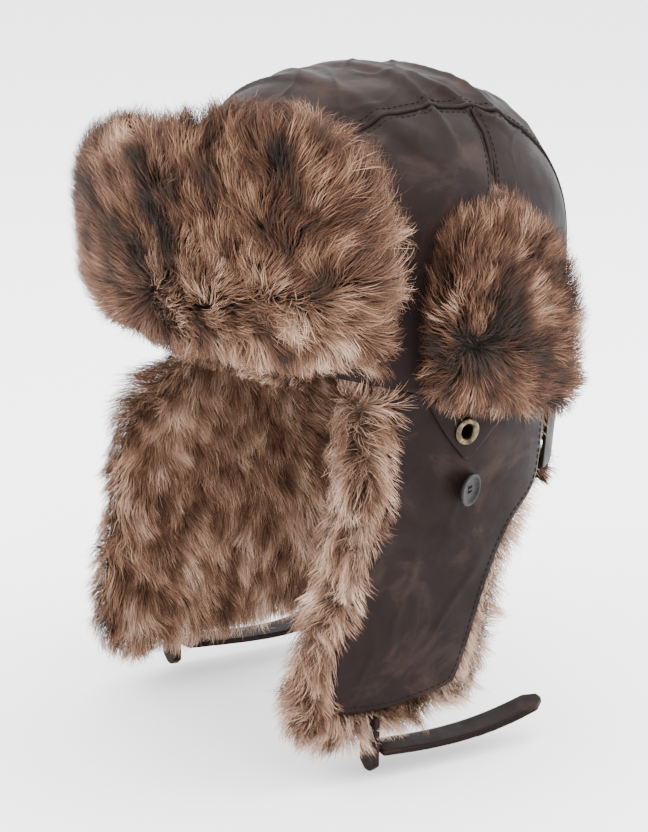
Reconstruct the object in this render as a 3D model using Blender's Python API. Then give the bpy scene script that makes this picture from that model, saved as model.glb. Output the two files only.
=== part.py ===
"""A trapper hat: a leather crown with a fur front flap, fur-lined ear flaps and neck guard, and a fur ear
cover folded up on each side. Metres, +Z up, the front of the hat faces -Y, the wearer's left is +X, and the
origin is the centre of the head opening."""

import math

import bmesh
import bpy
from mathutils import Matrix, Vector

MM = 0.001

# Driving dimensions: the crown
CROWN_HALF_WIDTH = 90 * MM
CROWN_HALF_LENGTH = 110 * MM
SPRING_HEIGHT = 62 * MM  # the walls stand straight up to here, and the dome starts
DOME_RISE = 87 * MM
ROUNDNESS = 2.05  # the power of the superellipse: 2 is an ellipse, more is boxier
RIM_SLOPE = 0.27  # the rim falls this much for each unit towards the nape
RIM_EASE_START = 40 * MM
RIM_EASE_END = 94 * MM
TOP_STRIP_HALF_WIDTH = 49 * MM
SEAM_GAP = 0.2 * MM  # half of the gap between two sewn panels

# Layers
LEATHER = 1.8 * MM
LINING_OUTER = -3.2 * MM
LINING_INNER = -8.2 * MM
SWEATBAND_OUTER = -9.6 * MM
SWEATBAND_INNER = -11.4 * MM
SWEATBAND_HEIGHT = 30 * MM
PIECE_GAP = 0.4 * MM

# The curtain: ear flaps and neck guard
CURTAIN_LEAN = 11 * MM  # how far the curtain leans in at CURTAIN_LEAN_DROP below the rim
CURTAIN_LEAN_DROP = 150 * MM
FUR_BEHIND_LEATHER = 3.4 * MM
EAR_FUR_AT_RIM = 10 * MM
EAR_FUR_THICKNESS = 17 * MM
EAR_FUR_BELOW_LEATHER = 16 * MM
EAR_FUR_SAG = 0.8  # how much longer the fur hangs at its longest place
EAR_FUR_SAG_Y = -70 * MM
EAR_FUR_SAG_HALF_WIDTH = 27 * MM
NECK_SIDE_Y = 65.5 * MM
NECK_BOTTOM = -54 * MM

# The front flap
FLAP_STANDOFF = 4.6 * MM
FLAP_LEATHER = 1.6 * MM
FLAP_END_ANGLE = math.radians(58)
FLAP_HEIGHT = 90 * MM
FLAP_RISE = 22 * MM  # how much higher the free edge stands at the flap's left end
FLAP_SLUMP = 18 * MM  # how much lower it has sunk at its right end
FLAP_CORNER = 8 * MM  # how much its two top corners are rounded off
FLAP_END_LIFT = 0.13  # how far the lower edge rises at both ends, as a share of the height
FLAP_FUR_THICKNESS = 25 * MM

# The ear covers, folded up against the crown
COVER_MIDDLE_Y = 14 * MM
COVER_HALF_WIDTH = 36 * MM
COVER_HEIGHT = 90 * MM
COVER_STANDOFF = 2.4 * MM
COVER_LEATHER = 1.5 * MM
COVER_FUR_GAP = 1.5 * MM
COVER_FUR_THICKNESS = 19 * MM
COVER_HINGE_OUT = 103 * MM

# Small parts on each ear flap
EYELET_PLACE = (-2 * MM, -14 * MM)
EYELET_RADIUS = 7 * MM
EYELET_BARREL_RADIUS = 4 * MM
EYELET_HOLE_RADIUS = 3.4 * MM
BUTTON_PLACE = (0 * MM, -44 * MM)
BUTTON_RADIUS = 8.5 * MM
BUTTON_THICKNESS = 3.2 * MM
BUTTON_TILT = math.radians(20)

# Chin straps
STRAP_ROOT = Vector((72, -38, -180.5)) * MM
STRAP_LENGTH = 96 * MM
STRAP_HALF_WIDTH = 7.5 * MM
STRAP_THICKNESS = 3 * MM
STRAP_OUTWARD = 13 * MM

# The wearer's right ear flap has been worn so that its front edge turns outwards and forwards.
FLARE_OUT = 25 * MM
FLARE_FORWARD = 24 * MM

# Outlines of the left ear flap as (y, z), from the rim down, in millimetres
LEATHER_FRONT = ((-38, 10), (-44, -16), (-42, -45), (-51, -66), (-56, -92), (-66, -118), (-68, -153))
LEATHER_BACK = ((61, -15), (60, -36), (54, -56), (36, -70), (24, -92), (15, -122), (3, -151))
FUR_FRONT = ((-63, 18), (-66, -4), (-69, -36), (-71, -66), (-77, -94), (-84, -120), (-90, -151))
FUR_BACK = ((63.6, -16), (62, -40), (59, -66), (45, -88), (35, -108), (33, -132), (28, -154))
LEATHER_BOTTOM_BULGE = 6 * MM


def clear_scene():
    for obj in list(bpy.data.objects):
        bpy.data.objects.remove(obj, do_unlink=True)


def make_material(name, colour, roughness, metallic=0.0):
    material = bpy.data.materials.new(name)
    material.use_nodes = True
    shader = material.node_tree.nodes["Principled BSDF"]
    shader.inputs["Base Color"].default_value = (*colour, 1)
    shader.inputs["Roughness"].default_value = roughness
    shader.inputs["Metallic"].default_value = metallic
    return material


# ---- Numbers and surfaces


def signed_power(value, power):
    return math.copysign(abs(value) ** power, value)


def smooth_step(value):
    value = min(max(value, 0), 1)
    return value * value * (3 - 2 * value)


def mix(a, b, share):
    return a + (b - a) * share


def through(points, share):
    """A smooth curve through hand-set (y, z) points in millimetres, at share 0 to 1 of the way, in metres."""
    place = min(max(share, 0), 1) * (len(points) - 1)
    at = min(int(place), len(points) - 2)
    t = place - at
    p = [Vector(points[min(max(at + k, 0), len(points) - 1)]) for k in (-1, 0, 1, 2)]
    bend = 2 * p[0] - 5 * p[1] + 4 * p[2] - p[3]
    twist = 3 * (p[1] - p[2]) + p[3] - p[0]
    return (2 * p[1] + (p[2] - p[0]) * t + bend * t * t + twist * t**3) * 0.5 * MM


def rim_height(y):
    """The height of the rim. It slopes down from the brow, and levels out at the nape."""
    eased = min(max(y - RIM_EASE_START, 0), RIM_EASE_END - RIM_EASE_START)
    straight = min(y, RIM_EASE_START)
    return -RIM_SLOPE * (straight + eased - eased**2 / (2 * (RIM_EASE_END - RIM_EASE_START)))


def plan_point(angle, grow=0.0):
    """The crown's outline from above. Angle 0 is the front, a quarter turn is the wearer's left."""
    x = (CROWN_HALF_WIDTH + grow) * signed_power(math.sin(angle), 2 / ROUNDNESS)
    y = -(CROWN_HALF_LENGTH + grow) * signed_power(math.cos(angle), 2 / ROUNDNESS)
    return x, y


def angle_at(y):
    """The angle on the left side where the crown's outline has this y."""
    return math.acos(signed_power(-y / CROWN_HALF_LENGTH, ROUNDNESS / 2))


def onto_crown(point, lift=0.0):
    """Moves a point straight out onto the crown's surface, then by lift along the surface's normal."""
    rise = max(point.z - SPRING_HEIGHT, 0)
    shares = (point.x / CROWN_HALF_WIDTH, point.y / CROWN_HALF_LENGTH, rise / DOME_RISE)
    scale = sum(abs(share) ** ROUNDNESS for share in shares) ** (-1 / ROUNDNESS)
    centre = Vector((0, 0, SPRING_HEIGHT if rise > 0 else point.z))
    powers = [signed_power(share * scale, ROUNDNESS - 1) for share in shares]
    semis = (CROWN_HALF_WIDTH, CROWN_HALF_LENGTH, DOME_RISE)
    normal = Vector([power / semi for power, semi in zip(powers, semis)]).normalized()
    return centre + (point - centre) * scale + normal * lift


def crown_side_x(y, z):
    """How far out the crown's left side is at this y and z."""
    rise = max(z - SPRING_HEIGHT, 0) / DOME_RISE
    left = 1 - abs(y / CROWN_HALF_LENGTH) ** ROUNDNESS - rise**ROUNDNESS
    return CROWN_HALF_WIDTH * max(left, 0.001) ** (1 / ROUNDNESS)


def crown_at_rim(x, side):
    """The point of the rim with this x, at the front (side -1) or the back (side 1)."""
    y = side * CROWN_HALF_LENGTH
    for _ in range(20):
        rise = max(rim_height(y) - SPRING_HEIGHT, 0) / DOME_RISE
        left = 1 - abs(x / CROWN_HALF_WIDTH) ** ROUNDNESS - rise**ROUNDNESS
        y = side * CROWN_HALF_LENGTH * left ** (1 / ROUNDNESS)
    return Vector((x, y, rim_height(y)))


def lean_at(drop):
    return CURTAIN_LEAN * (max(drop, 0) / CURTAIN_LEAN_DROP) ** 1.2


def ear_flap_surface(y, z):
    """The outer face of the left ear flap's leather. Its front part runs straighter than the crown does."""
    drop = rim_height(y) - z
    straight_x = CROWN_HALF_WIDTH - 0.95 * (y - 5 * MM) ** 2
    share = smooth_step(drop / (60 * MM)) * smooth_step((10 * MM - y) / (60 * MM))
    return Vector((mix(crown_side_x(y, 0), straight_x, share) - lean_at(drop), y, z))


def neck_surface(angle, drop):
    """The outer face of the neck guard's leather."""
    x, y = plan_point(angle, -lean_at(drop))
    return Vector((x, y, rim_height(plan_point(angle)[1]) - drop))


def front_flap_surface(angle, height):
    """The front face of the front flap's leather, which stands a little off the crown and leans out."""
    x, y = plan_point(angle, FLAP_STANDOFF + 0.04 * height)
    return Vector((x, y, rim_height(plan_point(angle)[1]) + 2 * MM + height))


def cover_surface(across, up):
    """The outer face of the left ear cover's leather: across runs back along the rim, up away from it."""
    tilt = math.atan(RIM_SLOPE)
    y = COVER_MIDDLE_Y + across * math.cos(tilt) - 0.03 * up
    z = rim_height(COVER_MIDDLE_Y) - across * math.sin(tilt) + 0.985 * up
    return onto_crown(Vector((crown_side_x(y, z), y, z)), COVER_STANDOFF)


def lifted(surface, p, q, lift):
    """The point of a surface at (p, q), moved by lift along the normal that points away from the head."""
    step = 0.5 * MM
    along = surface(p + step, q) - surface(p - step, q)
    down = surface(p, q + step) - surface(p, q - step)
    normal = along.cross(down).normalized()
    point = surface(p, q)
    if normal.dot(Vector((point.x, point.y, 0))) < 0:
        normal.negate()
    return point + normal * lift


# ---- Building solids


def finish_mesh(name, mesh_maker, material):
    bmesh.ops.remove_doubles(mesh_maker, verts=mesh_maker.verts, dist=1e-6)
    bmesh.ops.recalc_face_normals(mesh_maker, faces=mesh_maker.faces)
    mesh = bpy.data.meshes.new(name)
    mesh_maker.to_mesh(mesh)
    mesh_maker.free()
    mesh.materials.append(material)
    mesh.shade_smooth()
    mesh.set_sharp_from_angle(angle=math.radians(40))
    obj = bpy.data.objects.new(name, mesh)
    bpy.context.scene.collection.objects.link(obj)
    return obj


def grid_solid(name, outer, inner, material, closed=False):
    """A solid between two grids of points. A closed one joins its last column to its first."""
    maker = bmesh.new()
    sheets = [[[maker.verts.new(p) for p in row] for row in grid] for grid in (outer, inner)]
    rows, columns = len(outer), len(outer[0])
    steps = range(columns if closed else columns - 1)
    for sheet in sheets:
        for j in range(rows - 1):
            for i in steps:
                k = (i + 1) % columns
                maker.faces.new((sheet[j][i], sheet[j][k], sheet[j + 1][k], sheet[j + 1][i]))
    top, bottom = sheets
    for i in steps:
        k = (i + 1) % columns
        for j in (0, rows - 1):
            maker.faces.new((top[j][i], top[j][k], bottom[j][k], bottom[j][i]))
    for i in () if closed else (0, columns - 1):
        for j in range(rows - 1):
            maker.faces.new((top[j][i], top[j + 1][i], bottom[j + 1][i], bottom[j][i]))
    return finish_mesh(name, maker, material)


def surface_solid(name, surface, places, outer_lift, inner_lift, material):
    """A sheet of even thickness on a surface, over a grid of (p, q) places."""
    grids = [
        [[lifted(surface, p, q, lift) for p, q in row] for row in places]
        for lift in (outer_lift, inner_lift)
    ]
    return grid_solid(name, *grids, material)


def turned(name, profile, segments, frame, material, closed=True):
    """Turns a profile of (radius, height) points about the frame's Z axis."""
    maker = bmesh.new()
    rings = []
    for s in range(segments):
        turn = math.tau * s / segments
        points = [Vector((r * math.cos(turn), r * math.sin(turn), h)) for r, h in profile]
        rings.append([maker.verts.new(frame @ p) for p in points])
    count = len(profile)
    for s in range(segments):
        here, there = rings[s], rings[(s + 1) % segments]
        for k in range(count if closed else count - 1):
            n = (k + 1) % count
            maker.faces.new((here[k], here[n], there[n], there[k]))
    return finish_mesh(name, maker, material)


def fur_pad(name, surface, places, rolls, overhangs, thickness, gap, wrap, side, material):
    """A pad of fur on one side of a leather sheet (side 1 out, -1 in). Where roll is 0 it lies behind the
    leather, at 1 it stands past the leather's edge and swells round it by up to wrap, and at 2 it closes."""
    near, far = [], []
    for j, row in enumerate(places):
        near.append([])
        far.append([])
        for i, (p, q) in enumerate(row):
            deep = thickness(j)
            swell = min(wrap, 0.55 * overhangs[j][i])
            roll = rolls[j][i]
            close = (gap, gap - swell, gap + 0.35 * deep)[roll]
            away = (gap + deep, gap + 0.93 * deep, gap + 0.65 * deep)[roll]
            near[-1].append(lifted(surface, p, q, side * close))
            far[-1].append(lifted(surface, p, q, side * away))
    return grid_solid(name, far, near, material)


def mirrored(obj, name):
    """The same piece on the other side of the hat."""
    maker = bmesh.new()
    maker.from_mesh(obj.data)
    bmesh.ops.scale(maker, vec=(-1, 1, 1), verts=maker.verts)
    bmesh.ops.reverse_faces(maker, faces=maker.faces)
    return finish_mesh(name, maker, obj.data.materials[0])


def hang_on(pivot, pieces):
    """Parents pieces to an empty on their joint's axis, with their origins there."""
    for piece in pieces:
        piece.data.transform(Matrix.Translation(-pivot.location))
        piece.parent = pivot


def make_pivot(name, location):
    pivot = bpy.data.objects.new(name, None)
    pivot.location = location
    bpy.context.scene.collection.objects.link(pivot)
    return pivot


# ---- The crown


def strip_row(share, lift, shrink):
    """One row of the top strip's points, share 0 at the brow to 1 at the nape: up the front wall, over the
    dome, and down the back wall."""
    up_front, down_back = 0.08, 0.8
    row = []
    columns = 10
    for i in range(columns + 1):
        x = (2 * i / columns - 1) * (TOP_STRIP_HALF_WIDTH - shrink)
        front, back = crown_at_rim(x, -1), crown_at_rim(x, 1)
        if share < up_front:
            z = mix(front.z + SEAM_GAP, SPRING_HEIGHT, share / up_front)
            point = Vector((x, front.y, z))
        elif share < down_back:
            turn = math.pi * (share - up_front) / (down_back - up_front)
            ray = Vector((0, -math.cos(turn), math.sin(turn)))
            shares = (abs(ray.y) / CROWN_HALF_LENGTH) ** ROUNDNESS + (ray.z / DOME_RISE) ** ROUNDNESS
            reach = ((1 - abs(x / CROWN_HALF_WIDTH) ** ROUNDNESS) / shares) ** (1 / ROUNDNESS)
            point = Vector((x, ray.y * reach, SPRING_HEIGHT + ray.z * reach))
        else:
            z = mix(SPRING_HEIGHT, back.z + SEAM_GAP, (share - down_back) / (1 - down_back))
            point = Vector((x, back.y, z))
        row.append(onto_crown(point, lift))
    return row


def make_top_strip(leather):
    rows = 25
    grids = [[strip_row(j / rows, lift, SEAM_GAP) for j in range(rows + 1)] for lift in (0, -LEATHER)]
    return grid_solid("crown_top_panel", *grids, leather)


def seam_point(share):
    """The seam between the top strip and the left side, from the rim at the brow to the rim at the nape."""
    return strip_row(share, 0, -SEAM_GAP)[-1]


def side_panel(name, seam_shares, rim_ys, ends, leather):
    """A side panel spanned by four edges: the seam over it, the rim under it, and its two upright edges."""
    columns, rows = 9, 9
    first, last = ends
    grids = []
    for lift in (0, -LEATHER):
        grid = []
        for j in range(rows + 1):
            v = j / rows
            grid.append([])
            for i in range(columns + 1):
                u = i / columns
                over = seam_point(mix(*seam_shares, u))
                rim_y = mix(*rim_ys, u)
                rim = Vector((crown_side_x(rim_y, rim_height(rim_y)), rim_y, rim_height(rim_y) + SEAM_GAP))
                corner_over = mix(seam_point(seam_shares[0]), seam_point(seam_shares[1]), u)
                rim_ends = [
                    Vector((crown_side_x(y, rim_height(y)), y, rim_height(y) + SEAM_GAP)) for y in rim_ys
                ]
                spanned = (
                    over * v
                    + rim * (1 - v)
                    + first(v) * (1 - u)
                    + last(v) * u
                    - corner_over * v
                    - mix(*rim_ends, u) * (1 - v)
                )
                grid[-1].append(onto_crown(spanned, lift))
        grids.append(grid)
    return grid_solid(name, *grids, leather)


def make_side_panels(leather):
    """The left side's two panels, with the seam between them a little behind the middle."""
    front_rise, top_back, back_fall = 0.26, 0.47, 0.64
    seam_y = 8 * MM
    front_y = crown_at_rim(TOP_STRIP_HALF_WIDTH + SEAM_GAP, -1).y
    back_y = crown_at_rim(TOP_STRIP_HALF_WIDTH + SEAM_GAP, 1).y

    def between(side):
        def edge(v):
            low_y = seam_y + side * SEAM_GAP
            low = Vector((crown_side_x(low_y, rim_height(low_y)), low_y, rim_height(low_y) + SEAM_GAP))
            high = seam_point(top_back + side * 0.0006)
            bulge = Vector((0.6, 0, 0.8)) * 60 * MM * v * (1 - v)
            return mix(low, high, v) + bulge

        return edge

    front = side_panel(
        "crown_front_side_left",
        (front_rise, top_back - 0.0006),
        (front_y, seam_y - SEAM_GAP),
        (lambda v: seam_point(front_rise * v), between(-1)),
        leather,
    )
    back = side_panel(
        "crown_back_side_left",
        (top_back + 0.0006, back_fall),
        (seam_y + SEAM_GAP, back_y),
        (between(1), lambda v: seam_point(mix(1, back_fall, v))),
        leather,
    )
    for panel in (front, back):
        mirrored(panel, panel.name.replace("_left", "_right"))


def rim_ring(lift, height, share, segments):
    """A ring of points round the crown: share 0 is at height above the rim, 1 is at the top."""
    ring = []
    for s in range(segments):
        x, y = plan_point(math.tau * s / segments)
        low = Vector((x, y, rim_height(y) + height))
        high = Vector((x * 0.001, y * 0.001, SPRING_HEIGHT + DOME_RISE))
        turn = share * math.pi / 2
        ring.append(onto_crown(low * math.cos(turn) + high * math.sin(turn), lift))
    return ring


def make_lining(fabric):
    """A quilted dome. Its inner top is a flat disc, where the hat rests on a stand."""
    segments, rings = 32, 9
    shares = [0.93 * k / rings for k in range(rings + 1)]
    outer = [rim_ring(LINING_OUTER, 0.6 * MM, share, segments) for share in shares]
    inner = [rim_ring(LINING_INNER, 0.6 * MM, share, segments) for share in shares]
    flat_z = min(p.z for p in inner[-1])
    for point in inner[-1]:
        point.z = flat_z
    maker = bmesh.new()
    sheets = [[[maker.verts.new(p) for p in ring] for ring in grid] for grid in (outer, inner)]
    for s in range(segments):
        t = (s + 1) % segments
        for sheet in sheets:
            for k in range(rings):
                maker.faces.new((sheet[k][s], sheet[k][t], sheet[k + 1][t], sheet[k + 1][s]))
        maker.faces.new((sheets[0][0][s], sheets[0][0][t], sheets[1][0][t], sheets[1][0][s]))
    for sheet in sheets:
        maker.faces.new(sheet[-1])
    return finish_mesh("crown_lining", maker, fabric)


def make_sweatband(fabric):
    segments, rows = 40, 2
    grids = []
    for lift in (SWEATBAND_OUTER, SWEATBAND_INNER):
        grid = []
        for k in range(rows + 1):
            height = 1 * MM + SWEATBAND_HEIGHT * k / rows
            grid.append(rim_ring(lift, height, 0, segments))
        grids.append(grid)
    return grid_solid("sweatband", *grids, fabric, closed=True)


def make_brow_edge(fur):
    """The rolled edge of fur under the front flap, along the brow."""
    end_angle = angle_at(-76 * MM)
    steps, sides, radius = 18, 8, 5 * MM
    rows = []
    for j in range(steps + 1):
        angle = mix(-end_angle, end_angle, j / steps)
        x, y = plan_point(angle)
        middle = Vector((x, y, rim_height(y) - radius - PIECE_GAP))
        out = Vector((x, y, 0)).normalized()
        row = []
        for s in range(sides):
            turn = math.tau * s / sides
            row.append(middle + (out * math.cos(turn) * 1.3 + Vector((0, 0, math.sin(turn)))) * radius)
        rows.append(row)
    maker = bmesh.new()
    rings = [[maker.verts.new(p) for p in row] for row in rows]
    for j in range(steps):
        for s in range(sides):
            t = (s + 1) % sides
            maker.faces.new((rings[j][s], rings[j][t], rings[j + 1][t], rings[j + 1][s]))
    maker.faces.new(rings[0])
    maker.faces.new(rings[-1])
    return finish_mesh("brow_fur_edge", maker, fur)


# ---- The front flap


def front_flap_place(across, up):
    """The front flap's outline: across -1 to 1 from end to end, up 0 to 1 from the fold to the top edge."""
    narrowing = 1 - 0.2 * max(up - 0.35, 0) ** 1.6
    height = FLAP_HEIGHT + FLAP_RISE * smooth_step(across) - FLAP_SLUMP * smooth_step(-across)
    height -= FLAP_CORNER * abs(across) ** 7
    lift = FLAP_END_LIFT * min(abs(across), 1) ** 3
    return FLAP_END_ANGLE * across * narrowing, height * mix(lift, 1, up)


def make_front_flap(leather, fur):
    columns, rows = 22, 7
    places = [
        [front_flap_place(2 * i / columns - 1, j / rows) for i in range(columns + 1)]
        for j in range(rows + 1)
    ]
    backing = surface_solid("front_flap_leather", front_flap_surface, places, 0, -FLAP_LEATHER, leather)
    across = [-1.11, -1.06, -1.012] + [k / 9 - 1 for k in range(1, 18)] + [1.012, 1.06, 1.11]
    ups = [0.0, 0.14, 0.3, 0.46, 0.62, 0.78, 0.92, 1.012, 1.07, 1.12]
    last = len(across) - 1
    column_rolls = [2, 1] + [0] * (len(across) - 4) + [1, 2]
    row_rolls = [0] * (len(ups) - 2) + [1, 2]
    places, rolls, overhangs = [], [], []
    for j, up in enumerate(ups):
        places.append([front_flap_place(a, up) for a in across])
        rolls.append([max(column_rolls[i], row_rolls[j]) for i in range(last + 1)])
        overhangs.append([8 * MM if rolls[-1][i] else 0 for i in range(last + 1)])

    def thickness(row):
        return FLAP_FUR_THICKNESS * (0.72, 0.9, 1, 1, 1, 1, 0.95, 0.85, 0.75, 0.7)[row]

    pad = fur_pad(
        "front_flap_fur", front_flap_surface, places, rolls, overhangs, thickness, PIECE_GAP, 2 * MM, 1, fur
    )
    return backing, pad


# ---- The ear flaps and the neck guard


def flared(point):
    """Where a point of the wearer's right ear flap lies, with the flap's front edge turned out."""
    out = FLARE_OUT * smooth_step(-(point.z + 5 * MM) / (60 * MM))
    forward = FLARE_FORWARD * smooth_step(-(point.z + 1 * MM) / (26 * MM))
    return point - smooth_step((20 * MM - point.y) / (85 * MM)) * Vector((out, forward, 0))


def leather_place(u, v):
    """A point of the left ear flap's leather: u 0 to 1 from its front edge to its back, v down from the rim."""
    place = mix(through(LEATHER_FRONT, v), through(LEATHER_BACK, v), u)
    if v == 0:
        place.y = rim_height(place.x) - 2 * SEAM_GAP
    place.y -= LEATHER_BOTTOM_BULGE * 4 * u * (1 - u) * smooth_step((v - 0.7) / 0.3)
    return place.x, place.y


def make_ear_leather(leather):
    columns, rows = 9, 12
    places = [[leather_place(i / columns, j / rows) for i in range(columns + 1)] for j in range(rows + 1)]
    return surface_solid("ear_flap_leather_left", ear_flap_surface, places, 0, -LEATHER, leather)


def ear_fur_row(v, top):
    """One row of the fur pad's places. The leather's two edges are the third place from each end."""
    edge_gap = 1.4 * MM
    front, back = through(FUR_FRONT, v), through(FUR_BACK, v)
    leather = [Vector(leather_place(u, v)) for u in (0, 0.2, 0.4, 0.6, 0.8, 1)]
    leather[0].x -= edge_gap
    leather[-1].x = min(leather[-1].x + edge_gap, back.x - 2 * PIECE_GAP)
    row = [front, mix(front, leather[0], 0.4), *leather, mix(leather[-1], back, 0.6), back]
    if top:
        for place in row:
            place.y = rim_height(place.x) - 1 * MM
    return row


def make_ear_fur(fur):
    rows = 12
    grid = [ear_fur_row(j / rows, j == 0) for j in range(rows + 1)]
    middle_y = (grid[-1][0].x + grid[-1][-1].x) / 2
    bottom = grid[-1]
    for down, pinch in ((1.4 * MM, 0.0), (0.6 * EAR_FUR_BELOW_LEATHER, 0.03), (EAR_FUR_BELOW_LEATHER, 0.12)):
        grid.append([])
        for p in bottom:
            sag = 1 + EAR_FUR_SAG * smooth_step(1 - abs(p.x - EAR_FUR_SAG_Y) / EAR_FUR_SAG_HALF_WIDTH)
            grid[-1].append(Vector((mix(p.x, middle_y, pinch), p.y - down * sag)))
    grid.pop(rows)
    last = len(grid[0]) - 1
    column_rolls = [2, 1] + [0] * (last - 3) + [1, 2]
    row_rolls = [0] * (len(grid) - 2) + [1, 2]
    rolls = [[max(c, r) for c in column_rolls] for r in row_rolls]
    overhangs = []
    for j, row in enumerate(grid):
        front_over = row[2].x - row[0].x
        back_over = row[-1].x - row[-3].x
        side_over = [front_over, front_over] + [0] * (last - 3) + [back_over, back_over]
        overhangs.append([max(over, 0 if row_rolls[j] == 0 else 12 * MM) for over in side_over])
    places = [[(p.x, p.y) for p in row] for row in grid]

    def thickness(row):
        return mix(EAR_FUR_AT_RIM, EAR_FUR_THICKNESS, smooth_step(row / 4))

    return fur_pad(
        "ear_flap_fur_left",
        ear_flap_surface,
        places,
        rolls,
        overhangs,
        thickness,
        FUR_BEHIND_LEATHER,
        7 * MM,
        -1,
        fur,
    )


def make_neck_guard(leather, fur):
    side_angle = angle_at(NECK_SIDE_Y)
    columns = 18

    def place(u, drop, inset):
        return mix(side_angle + inset, math.tau - side_angle - inset, u), drop

    full = rim_height(CROWN_HALF_LENGTH) - NECK_BOTTOM
    drops = [2 * SEAM_GAP, 0.2 * full, 0.4 * full, 0.6 * full, 0.8 * full, full]
    inset = 0.012
    places = [[place(i / columns, drop, inset) for i in range(columns + 1)] for drop in drops]
    sheet = surface_solid("neck_guard_leather", neck_surface, places, 0, -LEATHER, leather)
    drops = [1 * MM, *drops[1:-1], full + 1.4 * MM, full + 6 * MM, full + 11 * MM]
    places = [[place(i / columns, drop, 0) for i in range(columns + 1)] for drop in drops]
    row_rolls = [0] * (len(drops) - 2) + [1, 2]
    rolls = [[roll] * (columns + 1) for roll in row_rolls]
    overhangs = [[11 * MM if roll else 0] * (columns + 1) for roll in row_rolls]

    def thickness(row):
        return mix(EAR_FUR_AT_RIM, 18 * MM, smooth_step(row / 4))

    pad = fur_pad(
        "neck_guard_fur",
        neck_surface,
        places,
        rolls,
        overhangs,
        thickness,
        FUR_BEHIND_LEATHER,
        5 * MM,
        -1,
        fur,
    )
    return sheet, pad


# ---- The ear covers


def cover_place(across, up, grow):
    """The ear cover's outline: straight along the hinge, round at the top."""
    height = COVER_HEIGHT + grow
    half = COVER_HALF_WIDTH + grow
    straight = 0.42
    if up > straight:
        half *= math.sqrt(max(1 - ((up - straight) / (1 - straight)) ** 2 * 0.9, 0))
    return half * across, 1 * MM + up * height * (1 - 0.06 * across**2 * up)


def make_ear_cover(leather, fur):
    columns, rows = 8, 9
    places = [
        [cover_place(2 * i / columns - 1, j / rows, 0) for i in range(columns + 1)] for j in range(rows + 1)
    ]
    backing = surface_solid("ear_cover_leather_left", cover_surface, places, 0, -COVER_LEATHER, leather)
    across = [-1.0, -0.93, -0.84, -0.5, 0.0, 0.5, 0.84, 0.93, 1.0]
    ups = [0.0, 0.1, 0.24, 0.38, 0.54, 0.7, 0.83, 0.93, 1.0]
    grow = 8 * MM
    column_rolls = [2, 1] + [0] * (len(across) - 4) + [1, 2]
    row_rolls = [0] * (len(ups) - 2) + [1, 2]
    places = [[cover_place(a, up, grow) for a in across] for up in ups]
    rolls = [[max(c, r) for c in column_rolls] for r in row_rolls]
    overhangs = [[0] * len(across) for _ in ups]

    def thickness(row):
        return COVER_FUR_THICKNESS * (0.7, 0.9, 1, 1, 1, 1, 0.95, 0.85, 0.8)[row]

    pad = fur_pad(
        "ear_cover_fur_left", cover_surface, places, rolls, overhangs, thickness, COVER_FUR_GAP, 0, 1, fur
    )
    return backing, pad


# ---- The tab, eyelet and button on each ear flap


def frame_on_flap(place, lift, turn=0.0):
    """A frame with its Z axis out of the left ear flap's face at (y, z), turned back about the upright."""
    base = lifted(ear_flap_surface, *place, lift)
    out = (lifted(ear_flap_surface, *place, lift + 1 * MM) - base).normalized()
    turned_out = Matrix.Rotation(turn, 3, "Z") @ out
    return Matrix.Translation(base) @ turned_out.to_track_quat("Z", "Y").to_matrix().to_4x4()


def make_tab(leather):
    """A pointed leather patch that backs the eyelet."""
    tip_y, tip_z = 0, -29 * MM
    top_half = 23 * MM
    rows, columns = 7, 4
    places = []
    for j in range(rows + 1):
        v = j / rows
        half = top_half * (1 - v**1.15) + 1.5 * MM
        row = []
        for i in range(columns + 1):
            y = tip_y + half * (2 * i / columns - 1)
            row.append((y, mix(rim_height(y) - 2.5 * MM, tip_z, v)))
        places.append(row)
    return surface_solid("ear_tab_left", ear_flap_surface, places, 1.6 * MM, 0.4 * MM, leather)


def cut_hole(pieces, frame, radius, segments=20):
    """Cuts a round hole through pieces along the frame's Z axis."""
    reach = 9 * MM
    profile = [(0, -reach), (radius, -reach), (radius, reach), (0, reach)]
    cutter = turned("hole_cutter", profile, segments, frame, pieces[0].data.materials[0], closed=False)
    for piece in pieces:
        cut = piece.modifiers.new("hole", "BOOLEAN")
        cut.operation = "DIFFERENCE"
        cut.object = cutter
        cut.solver = "EXACT"
        graph = bpy.context.evaluated_depsgraph_get()
        mesh = bpy.data.meshes.new_from_object(piece.evaluated_get(graph))
        piece.modifiers.clear()
        piece.data = mesh
    bpy.data.objects.remove(cutter, do_unlink=True)


def make_eyelet(brass):
    """A rolled eyelet: its flange on the tab, its barrel through both leathers, and a washer behind."""
    frame = frame_on_flap(EYELET_PLACE, 0)
    face = 2.0 * MM  # the flange's underside, above the ear flap's leather face
    back = -3.2 * MM
    barrel, hole, rim = EYELET_BARREL_RADIUS, EYELET_HOLE_RADIUS, EYELET_RADIUS
    profile = [
        (hole, back),
        (barrel, back),
        (barrel, face),
        (rim, face),
        (rim - 0.3 * MM, face + 0.8 * MM),
        (rim - 1.4 * MM, face + 1.2 * MM),
        (barrel, face + 1.0 * MM),
        (hole + 0.2 * MM, face + 0.5 * MM),
        (hole, face),
    ]
    eyelet = turned("eyelet_left", profile, 24, frame, brass)
    low, high = -2.9 * MM, -2.1 * MM
    inner = barrel + 0.2 * MM
    outer = rim - 0.6 * MM
    ring = [(inner, low), (outer, low), (outer, high), (inner, high)]
    washer = turned("eyelet_washer_left", ring, 24, frame, brass)
    return eyelet, washer


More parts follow.
